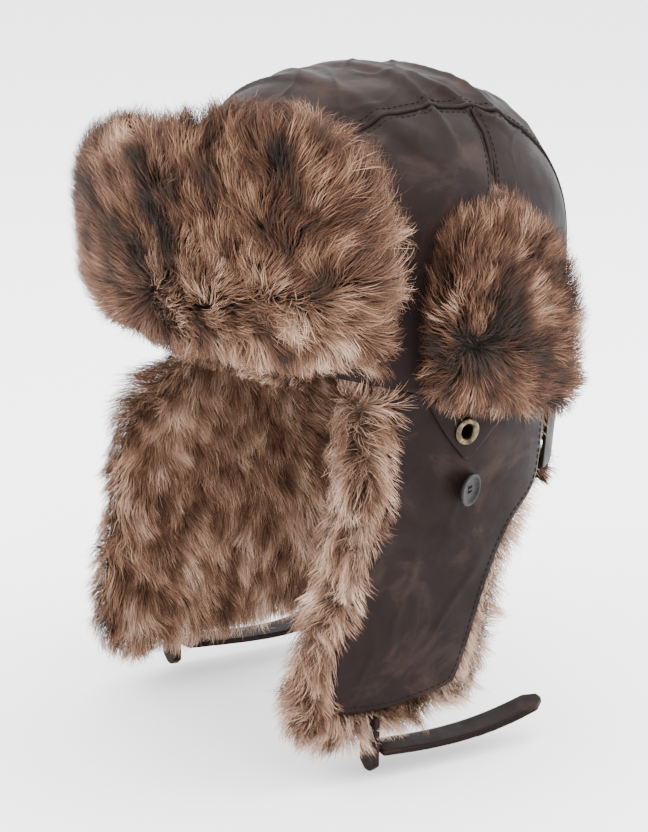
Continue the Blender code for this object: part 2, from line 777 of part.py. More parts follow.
def make_button(plastic, thread):
    """A four-hole button with a raised rim, held off the leather by its thread."""
    frame = frame_on_flap(BUTTON_PLACE, 2.4 * MM, BUTTON_TILT)
    r, t = BUTTON_RADIUS, BUTTON_THICKNESS
    profile = [
        (0, 0.6 * MM),
        (r * 0.7, 0.6 * MM),
        (r - 0.5 * MM, 1.2 * MM),
        (r, 1.9 * MM),
        (r - 0.4 * MM, t - 0.3 * MM),
        (r - 1.2 * MM, t),
        (r - 2.3 * MM, t - 0.5 * MM),
        (r - 3.2 * MM, t - 1.1 * MM),
        (0, t - 1.2 * MM),
    ]
    button = turned("button_left", profile, 26, frame, plastic, closed=False)
    spread = 1.5 * MM
    for k in range(4):
        turn = math.radians(45 + 90 * k)
        shift = Matrix.Translation((spread * math.cos(turn), spread * math.sin(turn), 0))
        cut_hole([button], frame @ shift, 0.75 * MM, 8)
    shank_frame = frame_on_flap(BUTTON_PLACE, 0)
    shank = [(0, 0.3 * MM), (2.2 * MM, 0.3 * MM), (1.9 * MM, 2.1 * MM), (0, 2.1 * MM)]
    return button, turned("button_thread_left", shank, 10, shank_frame, thread, closed=False)


# ---- The chin straps


def strap_path(share):
    """The left strap's centre line: back and a little out, dipping and then rising at the tip."""
    along = share * STRAP_LENGTH
    sag = -3 * MM * math.sin(share * math.pi) + 7 * MM * share**3
    return STRAP_ROOT + Vector((STRAP_OUTWARD * share, along, sag))


def strap_grid(shares, half_widths, low, high):
    grids = []
    for height in (high, low):
        grid = []
        for share, half in zip(shares, half_widths):
            ahead = (strap_path(share + 0.01) - strap_path(share - 0.01)).normalized()
            side = Vector((0, 0, 1)).cross(ahead).normalized() * -1
            up = side.cross(ahead).normalized()
            centre = strap_path(share) + up * height
            grid.append([centre - side * half, centre, centre + side * half])
        grids.append(grid)
    return grids


def make_strap(leather):
    shares = [0.005, 0.1, 0.2, 0.3, 0.4, 0.5, 0.6, 0.7, 0.8, 0.88, 0.94, 1.0]
    half_widths = [STRAP_HALF_WIDTH] * (len(shares) - 2) + [STRAP_HALF_WIDTH * 0.98, STRAP_HALF_WIDTH * 0.3]
    half = STRAP_THICKNESS / 2
    return grid_solid("chin_strap_left", *strap_grid(shares, half_widths, -half, half), leather)


def make_strap_patch(name, under, material):
    """A strip of touch fastener near the strap's tip, under it or on it."""
    shares = [0.58, 0.68, 0.78, 0.86]
    start = STRAP_THICKNESS / 2 + 0.3 * MM
    low, high = (-start - 1 * MM, -start) if under else (start, start + 1 * MM)
    return grid_solid(name, *strap_grid(shares, [5.5 * MM] * len(shares), low, high), material)


def make_strap_anchor(leather):
    """The short pointed tab sewn to the ear flap's lower edge, which the strap swings on."""
    back_y = STRAP_ROOT.y - 2 * MM
    front_y = back_y - 3 * MM
    middle_x = STRAP_ROOT.x - 1 * MM
    top_z, shoulder_z, tip_z = -175.4 * MM, -188 * MM, -192 * MM
    half = STRAP_HALF_WIDTH - 1 * MM
    outline = [(-half, top_z), (half, top_z), (half, shoulder_z), (2 * MM, tip_z), (-2 * MM, tip_z)]
    outline.append((-half, shoulder_z))
    maker = bmesh.new()
    front = [maker.verts.new((middle_x + x, front_y, z)) for x, z in outline]
    back = [maker.verts.new((middle_x + x, back_y, z)) for x, z in outline]
    maker.faces.new(front)
    maker.faces.new(back)
    for k in range(len(outline)):
        n = (k + 1) % len(outline)
        maker.faces.new((front[k], front[n], back[n], back[k]))
    return finish_mesh("strap_anchor_left", maker, leather)


# ---- The whole hat


def main():
    clear_scene()
    leather = make_material("waxed_leather", (0.050, 0.036, 0.030), 0.55)
    backing = make_material("flap_backing", (0.060, 0.044, 0.036), 0.6)
    fur = make_material("fur", (0.19, 0.10, 0.055), 0.9)
    pale_fur = make_material("pale_fur", (0.45, 0.30, 0.20), 0.9)
    lining = make_material("quilted_lining", (0.03, 0.025, 0.022), 0.8)
    brass = make_material("antique_brass", (0.32, 0.25, 0.15), 0.4, 1.0)
    plastic = make_material("button_plastic", (0.025, 0.022, 0.024), 0.35)
    thread = make_material("thread", (0.03, 0.025, 0.022), 0.8)
    touch = make_material("touch_fastener", (0.02, 0.02, 0.02), 0.95)

    make_top_strip(leather)
    make_side_panels(leather)
    make_lining(lining)
    make_sweatband(lining)
    make_brow_edge(pale_fur)

    front_rim = crown_at_rim(0, -1)
    pivot = make_pivot("front_flap_pivot", (0, front_rim.y - FLAP_STANDOFF, front_rim.z + 2 * MM))
    hang_on(pivot, make_front_flap(backing, fur))

    back_rim = crown_at_rim(0, 1)
    pivot = make_pivot("neck_guard_pivot", (0, back_rim.y, back_rim.z))
    hang_on(pivot, make_neck_guard(leather, fur))

    ear_leather = make_ear_leather(leather)
    tab = make_tab(leather)
    cut_hole([ear_leather, tab], frame_on_flap(EYELET_PLACE, 0), EYELET_BARREL_RADIUS + 0.4 * MM)
    left = {
        "ear_flap": [
            ear_leather,
            tab,
            make_ear_fur(fur),
            make_strap_anchor(leather),
            *make_eyelet(brass),
            *make_button(plastic, thread),
        ],
        "ear_cover": [*make_ear_cover(backing, fur)],
        "chin_strap": [make_strap(leather)],
    }
    right = {
        group: [mirrored(piece, piece.name.replace("_left", "_right")) for piece in pieces]
        for group, pieces in left.items()
    }
    left["chin_strap"].append(make_strap_patch("strap_hook_patch_left", True, touch))
    loops = make_strap_patch("loops_before_mirroring", False, touch)
    right["chin_strap"].append(mirrored(loops, "strap_loop_patch_right"))
    bpy.data.objects.remove(loops, do_unlink=True)
    for piece in right["ear_flap"] + right["chin_strap"]:
        for vertex in piece.data.vertices:
            vertex.co = flared(vertex.co)

    hinges = {
        "ear_flap": Vector((CROWN_HALF_WIDTH, 0, 0)),
        "ear_cover": Vector((COVER_HINGE_OUT, 0, 0)),
        "chin_strap": STRAP_ROOT,
    }
    for group, place in hinges.items():
        hang_on(make_pivot(f"{group}_left_pivot", place), left[group])
        across = flared(Vector((-place.x, place.y, place.z)))
        hang_on(make_pivot(f"{group}_right_pivot", across), right[group])


main()
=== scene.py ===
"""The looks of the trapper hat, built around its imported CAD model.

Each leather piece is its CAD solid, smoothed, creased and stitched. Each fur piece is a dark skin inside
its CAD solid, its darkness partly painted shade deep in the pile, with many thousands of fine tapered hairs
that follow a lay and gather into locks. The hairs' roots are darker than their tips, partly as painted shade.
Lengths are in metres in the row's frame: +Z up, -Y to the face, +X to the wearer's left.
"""

import math

import bmesh
import bpy
import numpy as np
from mathutils import Matrix, Vector
from mathutils.bvhtree import BVHTree
from mathutils.kdtree import KDTree


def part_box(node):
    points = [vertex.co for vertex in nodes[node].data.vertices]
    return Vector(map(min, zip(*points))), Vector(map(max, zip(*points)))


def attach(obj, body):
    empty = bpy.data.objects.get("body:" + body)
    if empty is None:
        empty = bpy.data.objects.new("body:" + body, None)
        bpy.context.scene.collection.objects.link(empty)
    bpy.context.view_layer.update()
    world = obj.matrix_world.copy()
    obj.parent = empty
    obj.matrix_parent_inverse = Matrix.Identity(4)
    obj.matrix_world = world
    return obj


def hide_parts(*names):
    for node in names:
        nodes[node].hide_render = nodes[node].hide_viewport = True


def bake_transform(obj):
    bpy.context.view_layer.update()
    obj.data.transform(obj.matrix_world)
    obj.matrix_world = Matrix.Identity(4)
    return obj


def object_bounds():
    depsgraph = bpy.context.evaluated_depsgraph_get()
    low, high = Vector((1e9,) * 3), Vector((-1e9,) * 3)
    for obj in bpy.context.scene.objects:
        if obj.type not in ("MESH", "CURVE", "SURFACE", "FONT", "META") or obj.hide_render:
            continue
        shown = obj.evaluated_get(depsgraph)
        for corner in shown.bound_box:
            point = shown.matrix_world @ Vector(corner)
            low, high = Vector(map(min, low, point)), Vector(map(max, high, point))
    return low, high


MM = 0.001
SIDES = (("left", 1), ("right", -1))

# Hair
HAIR_WIDTH = 0.27 * MM
HAIR_DENSITY = 1.75e6  # hairs on a square metre
HAIRS_IN_A_PIECE = 24000
HAIR_SHARES = (0.0, 0.3, 0.55, 0.8, 1.0)
HAIR_TAPER = (1.0, 1.0, 0.8, 0.5)
HAIR_RISE = tuple(math.radians(a) for a in (68, 46, 28, 12))
HAIR_WANDER = 0.2
HAIR_LIFT_SPREAD = 0.16
LENGTH_SPREAD = (0.7, 1.18)
WIDTH_SPREAD = (0.65, 1.25)
TINT_SPREAD = 0.12
ROLL_SPREAD = 0.5  # how far hairs turn about their own length, in radians
TOUSLE_SHARE = 0.34
SWIRL_SHARE = 0.3
SKIN_VOXEL = 2.6 * MM
SKIN_INSET = 6 * MM
BALD_RADIUS = 15 * MM
LOCK_SIZE = 3.4 * MM
LOCK_PULL = 0.5
LOCK_CURVE = 1.4  # above 1, a lock draws together late along its hairs
LOCK_FULLNESS = 0.22
LOCK_TINT_SHARE = 0.28  # how much of a hair's tint comes from its lock
HAIR_UV = "OFBake"

# Leather
TOP_SEAM_X = 49 * MM
SIDE_SEAM_Y = 9 * MM
SIDE_SEAM_SWEEP = 18 * MM  # how far back the side seams have swept where they reach the top
CROWN_HALF_SIZE = (90 * MM, 110 * MM, 87 * MM)
CROWN_POWER = 2.05
DOME_START = 62 * MM
STITCH = (2.5 * MM, 0.55 * MM, 0.4 * MM)
STITCH_PITCH = 3.4 * MM
FINE_PITCH = 2.8 * MM
BESIDE_SEAM = 1.3 * MM
SEWN_FROM_SEAM = 3.4 * MM
LINE_PITCH = 2 * MM
SHARP_EDGE = math.radians(38)
FAR_OUT = 0.3  # where rays that look for the crown start

# Folds between the crown and what hangs on it
RIM_SLOPE = 0.27  # how far the rim falls for each unit towards the nape
RIM_EASE_START = 40 * MM
RIM_EASE_END = 94 * MM

# Camera
CAMERA_PLACE = (0.7423, -0.5397, 0.2628)
CAMERA_ANGLES = (55.1, 17.8, 0.6)  # azimuth, elevation and roll, in degrees
LENS = 80.3

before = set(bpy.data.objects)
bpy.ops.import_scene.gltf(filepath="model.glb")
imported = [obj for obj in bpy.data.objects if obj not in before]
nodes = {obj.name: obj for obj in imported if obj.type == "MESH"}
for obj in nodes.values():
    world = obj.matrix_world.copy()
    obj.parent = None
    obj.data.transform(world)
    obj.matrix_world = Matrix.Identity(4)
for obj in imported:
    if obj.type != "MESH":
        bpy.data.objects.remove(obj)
cad_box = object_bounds()
dice = np.random.default_rng(7)


# ---- Ripples: smooth random fields


class Ripple:
    """A smooth random field, about -1 to 1, whose features are about size across."""

    def __init__(self, seed, size, waves=14):
        chance = np.random.default_rng(seed)
        ways = chance.normal(size=(waves, 3))
        ways /= np.linalg.norm(ways, axis=1)[:, None]
        lengths = size * chance.uniform(1.2, 3.2, waves)
        self.ways = ways * (math.tau / lengths)[:, None]
        self.phases = chance.uniform(0, math.tau, waves)
        self.gain = 1.2 / math.sqrt(waves / 2) / 1.6

    def __call__(self, points):
        return np.sin(points @ self.ways.T + self.phases).sum(1) * self.gain


def unit(vectors):
    return vectors / np.maximum(np.linalg.norm(vectors, axis=1), 1e-9)[:, None]


def eased(value):
    value = np.clip(value, 0, 1)
    return value * value * (3 - 2 * value)


def past(values, start, fade):
    """0 up to start, rising to 1 over fade. Both are in millimetres, and the values in metres."""
    return eased((values - start * MM) / (fade * MM))


def mm(*place):
    return np.array(place) * MM


# ---- Materials


def new_material(name):
    material = bpy.data.materials.new(name)
    material.use_nodes = True
    tree = material.node_tree
    return material, tree, tree.nodes["Principled BSDF"]


def set_inputs(node, **values):
    """Sets a node's inputs. A name's underscores stand for spaces."""
    for name, value in values.items():
        node.inputs[name.replace("_", " ")].default_value = value


def ramp(tree, stops, factor):
    node = tree.nodes.new("ShaderNodeValToRGB")
    marks = node.color_ramp.elements
    while len(marks) < len(stops):
        marks.new(0.5)
    for mark, (place, colour) in zip(marks, stops):
        mark.position = place
        mark.color = (*colour, 1)
    tree.links.new(factor, node.inputs["Fac"])
    return node.outputs["Color"]


def texture(tree, kind, **values):
    """A texture in the object's own coordinates."""
    node = tree.nodes.new(kind)
    set_inputs(node, **values)
    place = tree.nodes.new("ShaderNodeTexCoord")
    tree.links.new(place.outputs["Object"], node.inputs["Vector"])
    return node


def noise(tree, scale, detail=4.0, roughness=0.55, distortion=0.0):
    values = {"Scale": scale, "Detail": detail, "Roughness": roughness, "Distortion": distortion}
    return texture(tree, "ShaderNodeTexNoise", **values).outputs["Fac"]


def cells(tree, scale):
    """The distance to the nearest border between random cells, as in leather grain."""
    node = texture(tree, "ShaderNodeTexVoronoi", Scale=scale)
    node.feature = "DISTANCE_TO_EDGE"
    return node.outputs["Distance"]


def ranged(tree, value, low, high, to_low, to_high):
    node = tree.nodes.new("ShaderNodeMapRange")
    set_inputs(node, From_Min=low, From_Max=high, To_Min=to_low, To_Max=to_high)
    tree.links.new(value, node.inputs["Value"])
    return node.outputs["Result"]


def bumped(tree, shader, heights):
    """Chains bump maps of (height, strength, distance) into the shader's normal."""
    normal = None
    for height, strength, distance in heights:
        node = tree.nodes.new("ShaderNodeBump")
        set_inputs(node, Strength=strength, Distance=distance)
        tree.links.new(height, node.inputs["Height"])
        if normal is not None:
            tree.links.new(normal, node.inputs["Normal"])
        normal = node.outputs["Normal"]
    tree.links.new(normal, shader.inputs["Normal"])


def leather_material(name, dark, worn, rough=(0.42, 0.62), grain=0.35):
    """Soft waxed leather: cloudy colour with worn patches, a fine grain and small creases."""
    material, tree, shader = new_material(name)
    clouds = noise(tree, 24, 7, 0.66, 0.8)
    colour = ramp(tree, ((0.34, dark), (0.52, tuple(c * 1.5 for c in dark)), (0.66, worn)), clouds)
    tree.links.new(colour, shader.inputs["Base Color"])
    tree.links.new(ranged(tree, noise(tree, 60, 5), 0.3, 0.7, *rough), shader.inputs["Roughness"])
    set_inputs(shader, Specular_IOR_Level=0.07, Specular_Tint=(1.0, 0.84, 0.8, 1))
    creases = noise(tree, 95, 8, 0.7, 1.2)
    heights = ((creases, 0.30, 0.6 * MM), (cells(tree, 1100), grain, 0.12 * MM))
    bumped(tree, shader, heights)
    return material


def satin_material(name, dark, light):
    """Lining satin with a fine ribbed weave."""
    material, tree, shader = new_material(name)
    colour = ramp(tree, ((0.3, dark), (0.7, light)), noise(tree, 30, 3))
    tree.links.new(colour, shader.inputs["Base Color"])
    set_inputs(shader, Roughness=0.45, Sheen_Weight=0.3)
    weave = noise(tree, 1500, 2)
    bumped(tree, shader, ((noise(tree, 140, 4), 0.25, 0.5 * MM), (weave, 0.3, 0.1 * MM)))
    return material


def metal_material(name):
    """Antique brass, dark and rubbed bright in patches that follow a noise, not the hollows; the brighter
    patches are smoother.
    """
    material, tree, shader = new_material(name)
    patina = noise(tree, 420, 5, 0.6)
    stops = ((0.32, (0.02, 0.015, 0.008)), (0.55, (0.10, 0.075, 0.045)), (0.75, (0.26, 0.20, 0.13)))
    tree.links.new(ramp(tree, stops, patina), shader.inputs["Base Color"])
    set_inputs(shader, Metallic=1.0)
    tree.links.new(ranged(tree, patina, 0.3, 0.7, 0.5, 0.26), shader.inputs["Roughness"])
    bumped(tree, shader, ((noise(tree, 900, 3), 0.15, 0.1 * MM),))
    return material


def plastic_material(name):
    """Dull dark horn-like plastic with faint swirls."""
    material, tree, shader = new_material(name)
    stops = ((0.35, (0.002, 0.002, 0.002)), (0.7, (0.011, 0.009, 0.009)))
    tree.links.new(ramp(tree, stops, noise(tree, 260, 4, 0.5, 2.0)), shader.inputs["Base Color"])
    set_inputs(shader, Roughness=0.42, Specular_IOR_Level=0.12)
    bumped(tree, shader, ((noise(tree, 1400, 2), 0.12, 0.05 * MM),))
    return material


def thread_material(name, dark, light):
    material, tree, shader = new_material(name)
    colour = ramp(tree, ((0.35, dark), (0.65, light)), noise(tree, 2600, 2))
    tree.links.new(colour, shader.inputs["Base Color"])
    set_inputs(shader, Roughness=0.8, Specular_IOR_Level=0.1)
    bumped(tree, shader, ((noise(tree, 3000, 1), 0.4, 0.1 * MM),))
    return material


def fur_material():
    """Hair whose colour runs from root to tip. U picks the hair's tint, and V is the share of its length."""
    material, tree, shader = new_material("fur_hair")
    place = tree.nodes.new("ShaderNodeUVMap")
    place.uv_map = HAIR_UV
    parts = tree.nodes.new("ShaderNodeSeparateXYZ")
    tree.links.new(place.outputs["UV"], parts.inputs["Vector"])
    tint, along = parts.outputs["X"], parts.outputs["Y"]
    # The roots are darker than the tips. This is partly the hair's own darker base and partly painted shade
    # for the depth of the pile and the gaps between hairs.
    roots = (
        (0.0, (0.005, 0.0038, 0.003)),
        (0.35, (0.010, 0.005, 0.0034)),
        (0.7, (0.028, 0.0135, 0.0075)),
        (1.0, (0.16, 0.095, 0.058)),
    )
    tips = (
        (0.0, (0.017, 0.012, 0.0095)),
        (0.25, (0.038, 0.0215, 0.0135)),
        (0.42, (0.072, 0.0285, 0.0155)),
        (0.60, (0.155, 0.075, 0.042)),
        (0.80, (0.35, 0.195, 0.122)),
        (1.0, (0.63, 0.44, 0.33)),
    )
    mix = tree.nodes.new("ShaderNodeMix")
    mix.data_type = "RGBA"
    tree.links.new(ranged(tree, along, 0.12, 0.85, 0, 1), mix.inputs["Factor"])
    tree.links.new(ramp(tree, roots, tint), mix.inputs[6])
    tree.links.new(ramp(tree, tips, tint), mix.inputs[7])
    tree.links.new(mix.outputs[2], shader.inputs["Base Color"])
    set_inputs(shader, Roughness=0.55, Specular_IOR_Level=0.14)
    return material


# ---- Mesh tools


def as_object(name, mesh, *materials):
    obj = bpy.data.objects.new(name, mesh)
    bpy.context.scene.collection.objects.link(obj)
    for material in materials:
        mesh.materials.append(material)
    return obj


def ring_quads(count, sides, closed=False):
    """The quads between rings of points, as the indices of their corners."""
    i, k = np.divmod(np.arange((count if closed else count - 1) * sides), sides)
    n, m = (i + 1) % count, (k + 1) % sides
    return np.stack([i * sides + k, i * sides + m, n * sides + m, n * sides + k], 1)


def mesh_of(name, points, corners, sizes, uvs=None):
    """A mesh from flat arrays: the corners of every face in turn, and how many corners each face has."""
    mesh = bpy.data.meshes.new(name)
    mesh.vertices.add(len(points))
    mesh.vertices.foreach_set("co", np.ascontiguousarray(points, np.float32).ravel())
    mesh.loops.add(len(corners))
    mesh.loops.foreach_set("vertex_index", corners.astype(np.int32))
    mesh.polygons.add(len(sizes))
    starts = np.concatenate([[0], np.cumsum(sizes)[:-1]]).astype(np.int32)
    mesh.polygons.foreach_set("loop_start", starts)
    mesh.polygons.foreach_set("use_smooth", np.ones(len(sizes), bool))
    mesh.update(calc_edges=True)
    if uvs is not None:
        layer = mesh.uv_layers.new(name=HAIR_UV)
        layer.data.foreach_set("uv", uvs[corners].astype(np.float32).ravel())
    return mesh


def numbers_of(rows, name, kind=np.float32):
    """Three numbers from each of a mesh's rows."""
    found = np.empty(len(rows) * 3, kind)
    rows.foreach_get(name, found)
    return found.reshape(-1, 3)


def arrays_of(obj):
    """The points, point normals and triangles of an object with its modifiers."""
    seen = obj.evaluated_get(bpy.context.evaluated_depsgraph_get())
    mesh = seen.to_mesh()
    mesh.calc_loop_triangles()
    points = numbers_of(mesh.vertices, "co").astype(float)
    normals = numbers_of(mesh.vertices, "normal").astype(float)
    faces = numbers_of(mesh.loop_triangles, "vertices", np.int32)
    seen.to_mesh_clear()
    return points, normals, faces


def tree_of(points, faces):
    return BVHTree.FromPolygons(points.tolist(), faces.tolist())


def settle(obj):
    """Applies an object's modifiers."""
    graph = bpy.context.evaluated_depsgraph_get()
    mesh = bpy.data.meshes.new_from_object(obj.evaluated_get(graph))
    obj.modifiers.clear()
    old = obj.data
    obj.data = mesh
    bpy.data.meshes.remove(old)


def sharp_bmesh(node, crease=0.7):
    """A CAD node's solid with its triangles joined into quads, and its sharp edges creased."""
    maker = bmesh.new()
    maker.from_mesh(nodes[node].data)
    bmesh.ops.remove_doubles(maker, verts=maker.verts, dist=0.01 * MM)
    flatness, squareness = math.radians(35), math.radians(60)
    bmesh.ops.join_triangles(
        maker, faces=maker.faces, angle_face_threshold=flatness, angle_shape_threshold=squareness
    )
    layer = maker.edges.layers.float.new("crease_edge")
    for edge in maker.edges:
        if len(edge.link_faces) == 2 and edge.calc_face_angle(0) > SHARP_EDGE:
            edge[layer] = crease
    return maker


def smoothed(name, node, material, levels, crease=0.7):
    """A smooth piece with the shape of a CAD node."""
    maker = sharp_bmesh(node, crease)
    mesh = bpy.data.meshes.new(name)
    maker.to_mesh(mesh)
    maker.free()
    obj = as_object(name, mesh, material)
    subdivide = obj.modifiers.new("smooth", "SUBSURF")
    subdivide.levels = levels
    subdivide.render_levels = levels
    settle(obj)
    obj.data.shade_smooth()
    return obj


def moved(obj, shift):
    """Moves an object's points by shift(points), an array of vectors."""
    points = numbers_of(obj.data.vertices, "co").astype(float)
    points += shift(points)
    obj.data.vertices.foreach_set("co", points.astype(np.float32).ravel())
    obj.data.update()


def resampled(points, pitch, closed=False):
    """Points at an even pitch along a polyline."""
    points = np.asarray(points, float)
    if closed:
        points = np.vstack([points, points[:1]])
    steps = np.linalg.norm(np.diff(points, axis=0), axis=1)
    far = np.concatenate([[0], np.cumsum(steps)])
    count = max(int(far[-1] / pitch), 2)
    places = np.linspace(0, far[-1], count + 1)
    if closed:
        places = places[:-1]
    return np.stack([np.interp(places, far, points[:, k]) for k in range(3)], axis=1)


def nearest_in(points, places):
    """For each place, the number of the nearest point."""
    finder = KDTree(len(points))
    for i, point in enumerate(points):
        finder.insert(point, i)
    finder.balance()
    return np.array([finder.find(place)[1] for place in places.tolist()])


def normals_by(points, normals, places):
    return unit(normals[nearest_in(points, places)])


def slopes(points, closed=False):
    if closed:
        return unit(np.roll(points, -1, axis=0) - np.roll(points, 1, axis=0))
    return unit(np.gradient(points, axis=0))


def tube(name, points, normals, radius, material):
    """A round cord along points."""
    sides = 8
    along = slopes(points)
    across = unit(np.cross(along, normals))
    up = np.cross(across, along)
    turns = np.arange(sides) * math.tau / sides
    ring = np.cos(turns)[None, :, None] * across[:, None] + np.sin(turns)[None, :, None] * up[:, None]
    places = (points[:, None] + radius * ring).reshape(-1, 3)
    quads = ring_quads(len(points), sides)
    end = np.arange(sides)
    corners = np.concatenate([quads.ravel(), end[::-1], (len(points) - 1) * sides + end])
    sizes = np.array([4] * len(quads) + [sides, sides])
    return as_object(name, mesh_of(name, places, corners, sizes), material)


def stitches(name, rows, pitch=STITCH_PITCH):
    """Rows of stitches. Each row is (points, normals, closed), on the surface that it is sewn to."""
    long, wide, high = STITCH
    rings, segments = 4, 6
    unit_points = []
    for r in range(rings + 1):
        lean = math.pi * r / rings
        for s in range(segments):
            turn = math.tau * s / segments
            swell = math.sin(lean) ** 0.6 if 0 < r < rings else 0.25
            unit_points.append((-math.cos(lean), math.cos(turn) * swell, math.sin(turn) * swell))
    shape = np.array(unit_points) * (long / 2, wide / 2, high)
    faces = ring_quads(rings + 1, segments)
    all_points, all_corners, base = [], [], 0
    for points, normals, closed in rows:
        places = resampled(points, pitch, closed)
        along = slopes(places, closed)
        up = normals_by(points, normals, places)
        across = unit(np.cross(up, along))
        up = np.cross(along, across)
        for place, a, b, c in zip(places, along, across, up):
            all_points.append(place + shape[:, :1] * a + shape[:, 1:2] * b + shape[:, 2:] * c)
            all_corners.append(faces.ravel() + base)
            base += len(shape)
    corners = np.concatenate(all_corners)
    mesh = mesh_of(name, np.vstack(all_points), corners, np.full(len(corners) // 4, 4))
    return as_object(name, mesh, THREAD)


# ---- Which body a piece belongs to


def rim_heights(y):
    """The height of the crown's rim at each y, the slope easing out towards the nape."""
    past = np.clip(y, RIM_EASE_START, RIM_EASE_END) - RIM_EASE_START
    straight = np.minimum(y, RIM_EASE_START)
    return -RIM_SLOPE * (straight + past - past**2 / (2 * (RIM_EASE_END - RIM_EASE_START)))


def join_at_fold(obj, body):
    """Bakes obj's transform into its mesh. A fold direction is worked out from body, but nothing uses it: obj
    is not put on body and does not bend.
    """
    steep = math.atan(RIM_SLOPE) if body.startswith("ear") else 0
    up = Vector((0, math.sin(steep), math.cos(steep)))
    if body.startswith(("front_flap", "ear_cover")):
        up = -up
    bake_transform(obj)


# ---- Fur


def skin_of(node):
    """A smooth skin inside a fur solid, as points, outward normals and triangles."""
    mesh = nodes[node].data.copy()
    obj = as_object("skin_before", mesh)
    remesh = obj.modifiers.new("remesh", "REMESH")
    remesh.mode = "VOXEL"
    remesh.voxel_size = SKIN_VOXEL
    smooth = obj.modifiers.new("smooth", "SMOOTH")
    smooth.factor = 0.5
    smooth.iterations = 14
    points, normals, faces = arrays_of(obj)
    bpy.data.objects.remove(obj, do_unlink=True)
    finder = tree_of(points, faces)
    depth = np.full(len(points), 30 * MM)
    for i, (point, normal) in enumerate(zip(points, normals)):
        start = Vector(point) - Vector(normal) * 0.3 * MM
        hit = finder.ray_cast(start, -Vector(normal), 30 * MM)
        if hit[0] is not None:
            depth[i] = hit[3]
    points = points - normals * np.minimum(SKIN_INSET, 0.3 * depth)[:, None]
    return points, normals, faces


def roots_on(points, normals, faces, density):
    """Random places on a skin, and the skin's normals there."""
    a, b, c = (points[faces[:, k]] for k in range(3))
    areas = np.linalg.norm(np.cross(b - a, c - a), axis=1) / 2
    count = int(areas.sum() * density)
    chosen = dice.choice(len(faces), count, p=areas / areas.sum())
    u, v = dice.random(count), dice.random(count)
    over = u + v > 1
    u[over], v[over] = 1 - u[over], 1 - v[over]
    w = 1 - u - v
    corners = faces[chosen]

    def between(values):
        return sum(values[corners[:, k]] * share[:, None] for k, share in enumerate((w, u, v)))

    return between(points), unit(between(normals))


def uncovered(places, normals, blockers, reach=10 * MM):
    """Which places have nothing close above them."""
    free = np.ones(len(places), bool)
    for i, (place, normal) in enumerate(zip(places, normals)):
        way = Vector(normal)
        start = Vector(place) + way * 0.5 * MM
        free[i] = all(tree.ray_cast(start, way, reach)[0] is None for tree in blockers)
    return free


def grown(roots, normals, finder, lay, lengths):
    """The five points of each hair, and the skin's normals by them. A hair rises, then lies along the lay."""
    wander = dice.normal(0, HAIR_WANDER, (len(roots), 3)) + tousled(roots)
    lift = dice.normal(0, HAIR_LIFT_SPREAD, len(roots))
    chain, ups = [roots], [normals]
    here, up = roots.copy(), normals.copy()
    for k, rise in enumerate(HAIR_RISE):
        way = unit(lay(here)) + wander
        way = unit(way - up * (way * up).sum(1)[:, None])
        lean = rise + lift
        step = lengths * (HAIR_SHARES[k + 1] - HAIR_SHARES[k])
        here = here + (np.cos(lean)[:, None] * way + np.sin(lean)[:, None] * up) * step[:, None]
        chain.append(here)
        if k < len(HAIR_RISE) - 1:
            nearest = [finder.find_nearest(p)[1] for p in here.tolist()]
            fresh = np.array([n if n is not None else (0, 0, 1) for n in nearest])
            up = unit(0.5 * up + fresh)
        ups.append(up)
    return np.stack(chain, 1), np.stack(ups, 1)


def gathered(chains):
    """Draws hairs together into locks that taper to their tips."""
    roots = chains[:, 0]
    spacing = int(HAIR_DENSITY * LOCK_SIZE**2)
    leaders = np.arange(0, len(roots), spacing)
    leader = leaders[nearest_in(roots[leaders], roots)]
    pull = LOCK_PULL * dice.uniform(0.2, 1.0, len(roots))
    shares = np.array(HAIR_SHARES) ** LOCK_CURVE
    weight = (pull[:, None] * shares[None])[:, :, None]
    beside = (roots - roots[leader])[:, None] * LOCK_FULLNESS
    return chains * (1 - weight) + (chains[leader] + beside) * weight, leader


def ribbons(chains, ups):
    """Tapered ribbons along hairs: points, corners, face sizes and the share along the hair of each point."""
    along = np.gradient(chains, axis=1)
    roll = dice.normal(0, ROLL_SPREAD, len(chains))[:, None, None]
    across = np.cross(along, ups)
    across /= np.maximum(np.linalg.norm(across, axis=2), 1e-9)[:, :, None]
    across = np.cos(roll) * across + np.sin(roll) * ups
    widths = HAIR_WIDTH * dice.uniform(*WIDTH_SPREAD, len(chains))
    half = widths[:, None, None] / 2 * np.array(HAIR_TAPER)[None, :, None]
    left = chains[:, :4] - across[:, :4] * half
    right = chains[:, :4] + across[:, :4] * half
    points = np.concatenate([np.stack([left, right], 2).reshape(len(chains), 8, 3), chains[:, 4:]], 1)
    pattern = np.array([0, 1, 3, 2, 2, 3, 5, 4, 4, 5, 7, 6, 6, 7, 8])
    corners = (np.arange(len(chains))[:, None] * 9 + pattern[None]).ravel()
    sizes = np.tile([4, 4, 4, 3], len(chains))
    shares = np.tile(np.append(np.repeat(HAIR_SHARES[:4], 2), 1.0), len(chains))
    return points.reshape(-1, 3), corners, sizes, shares


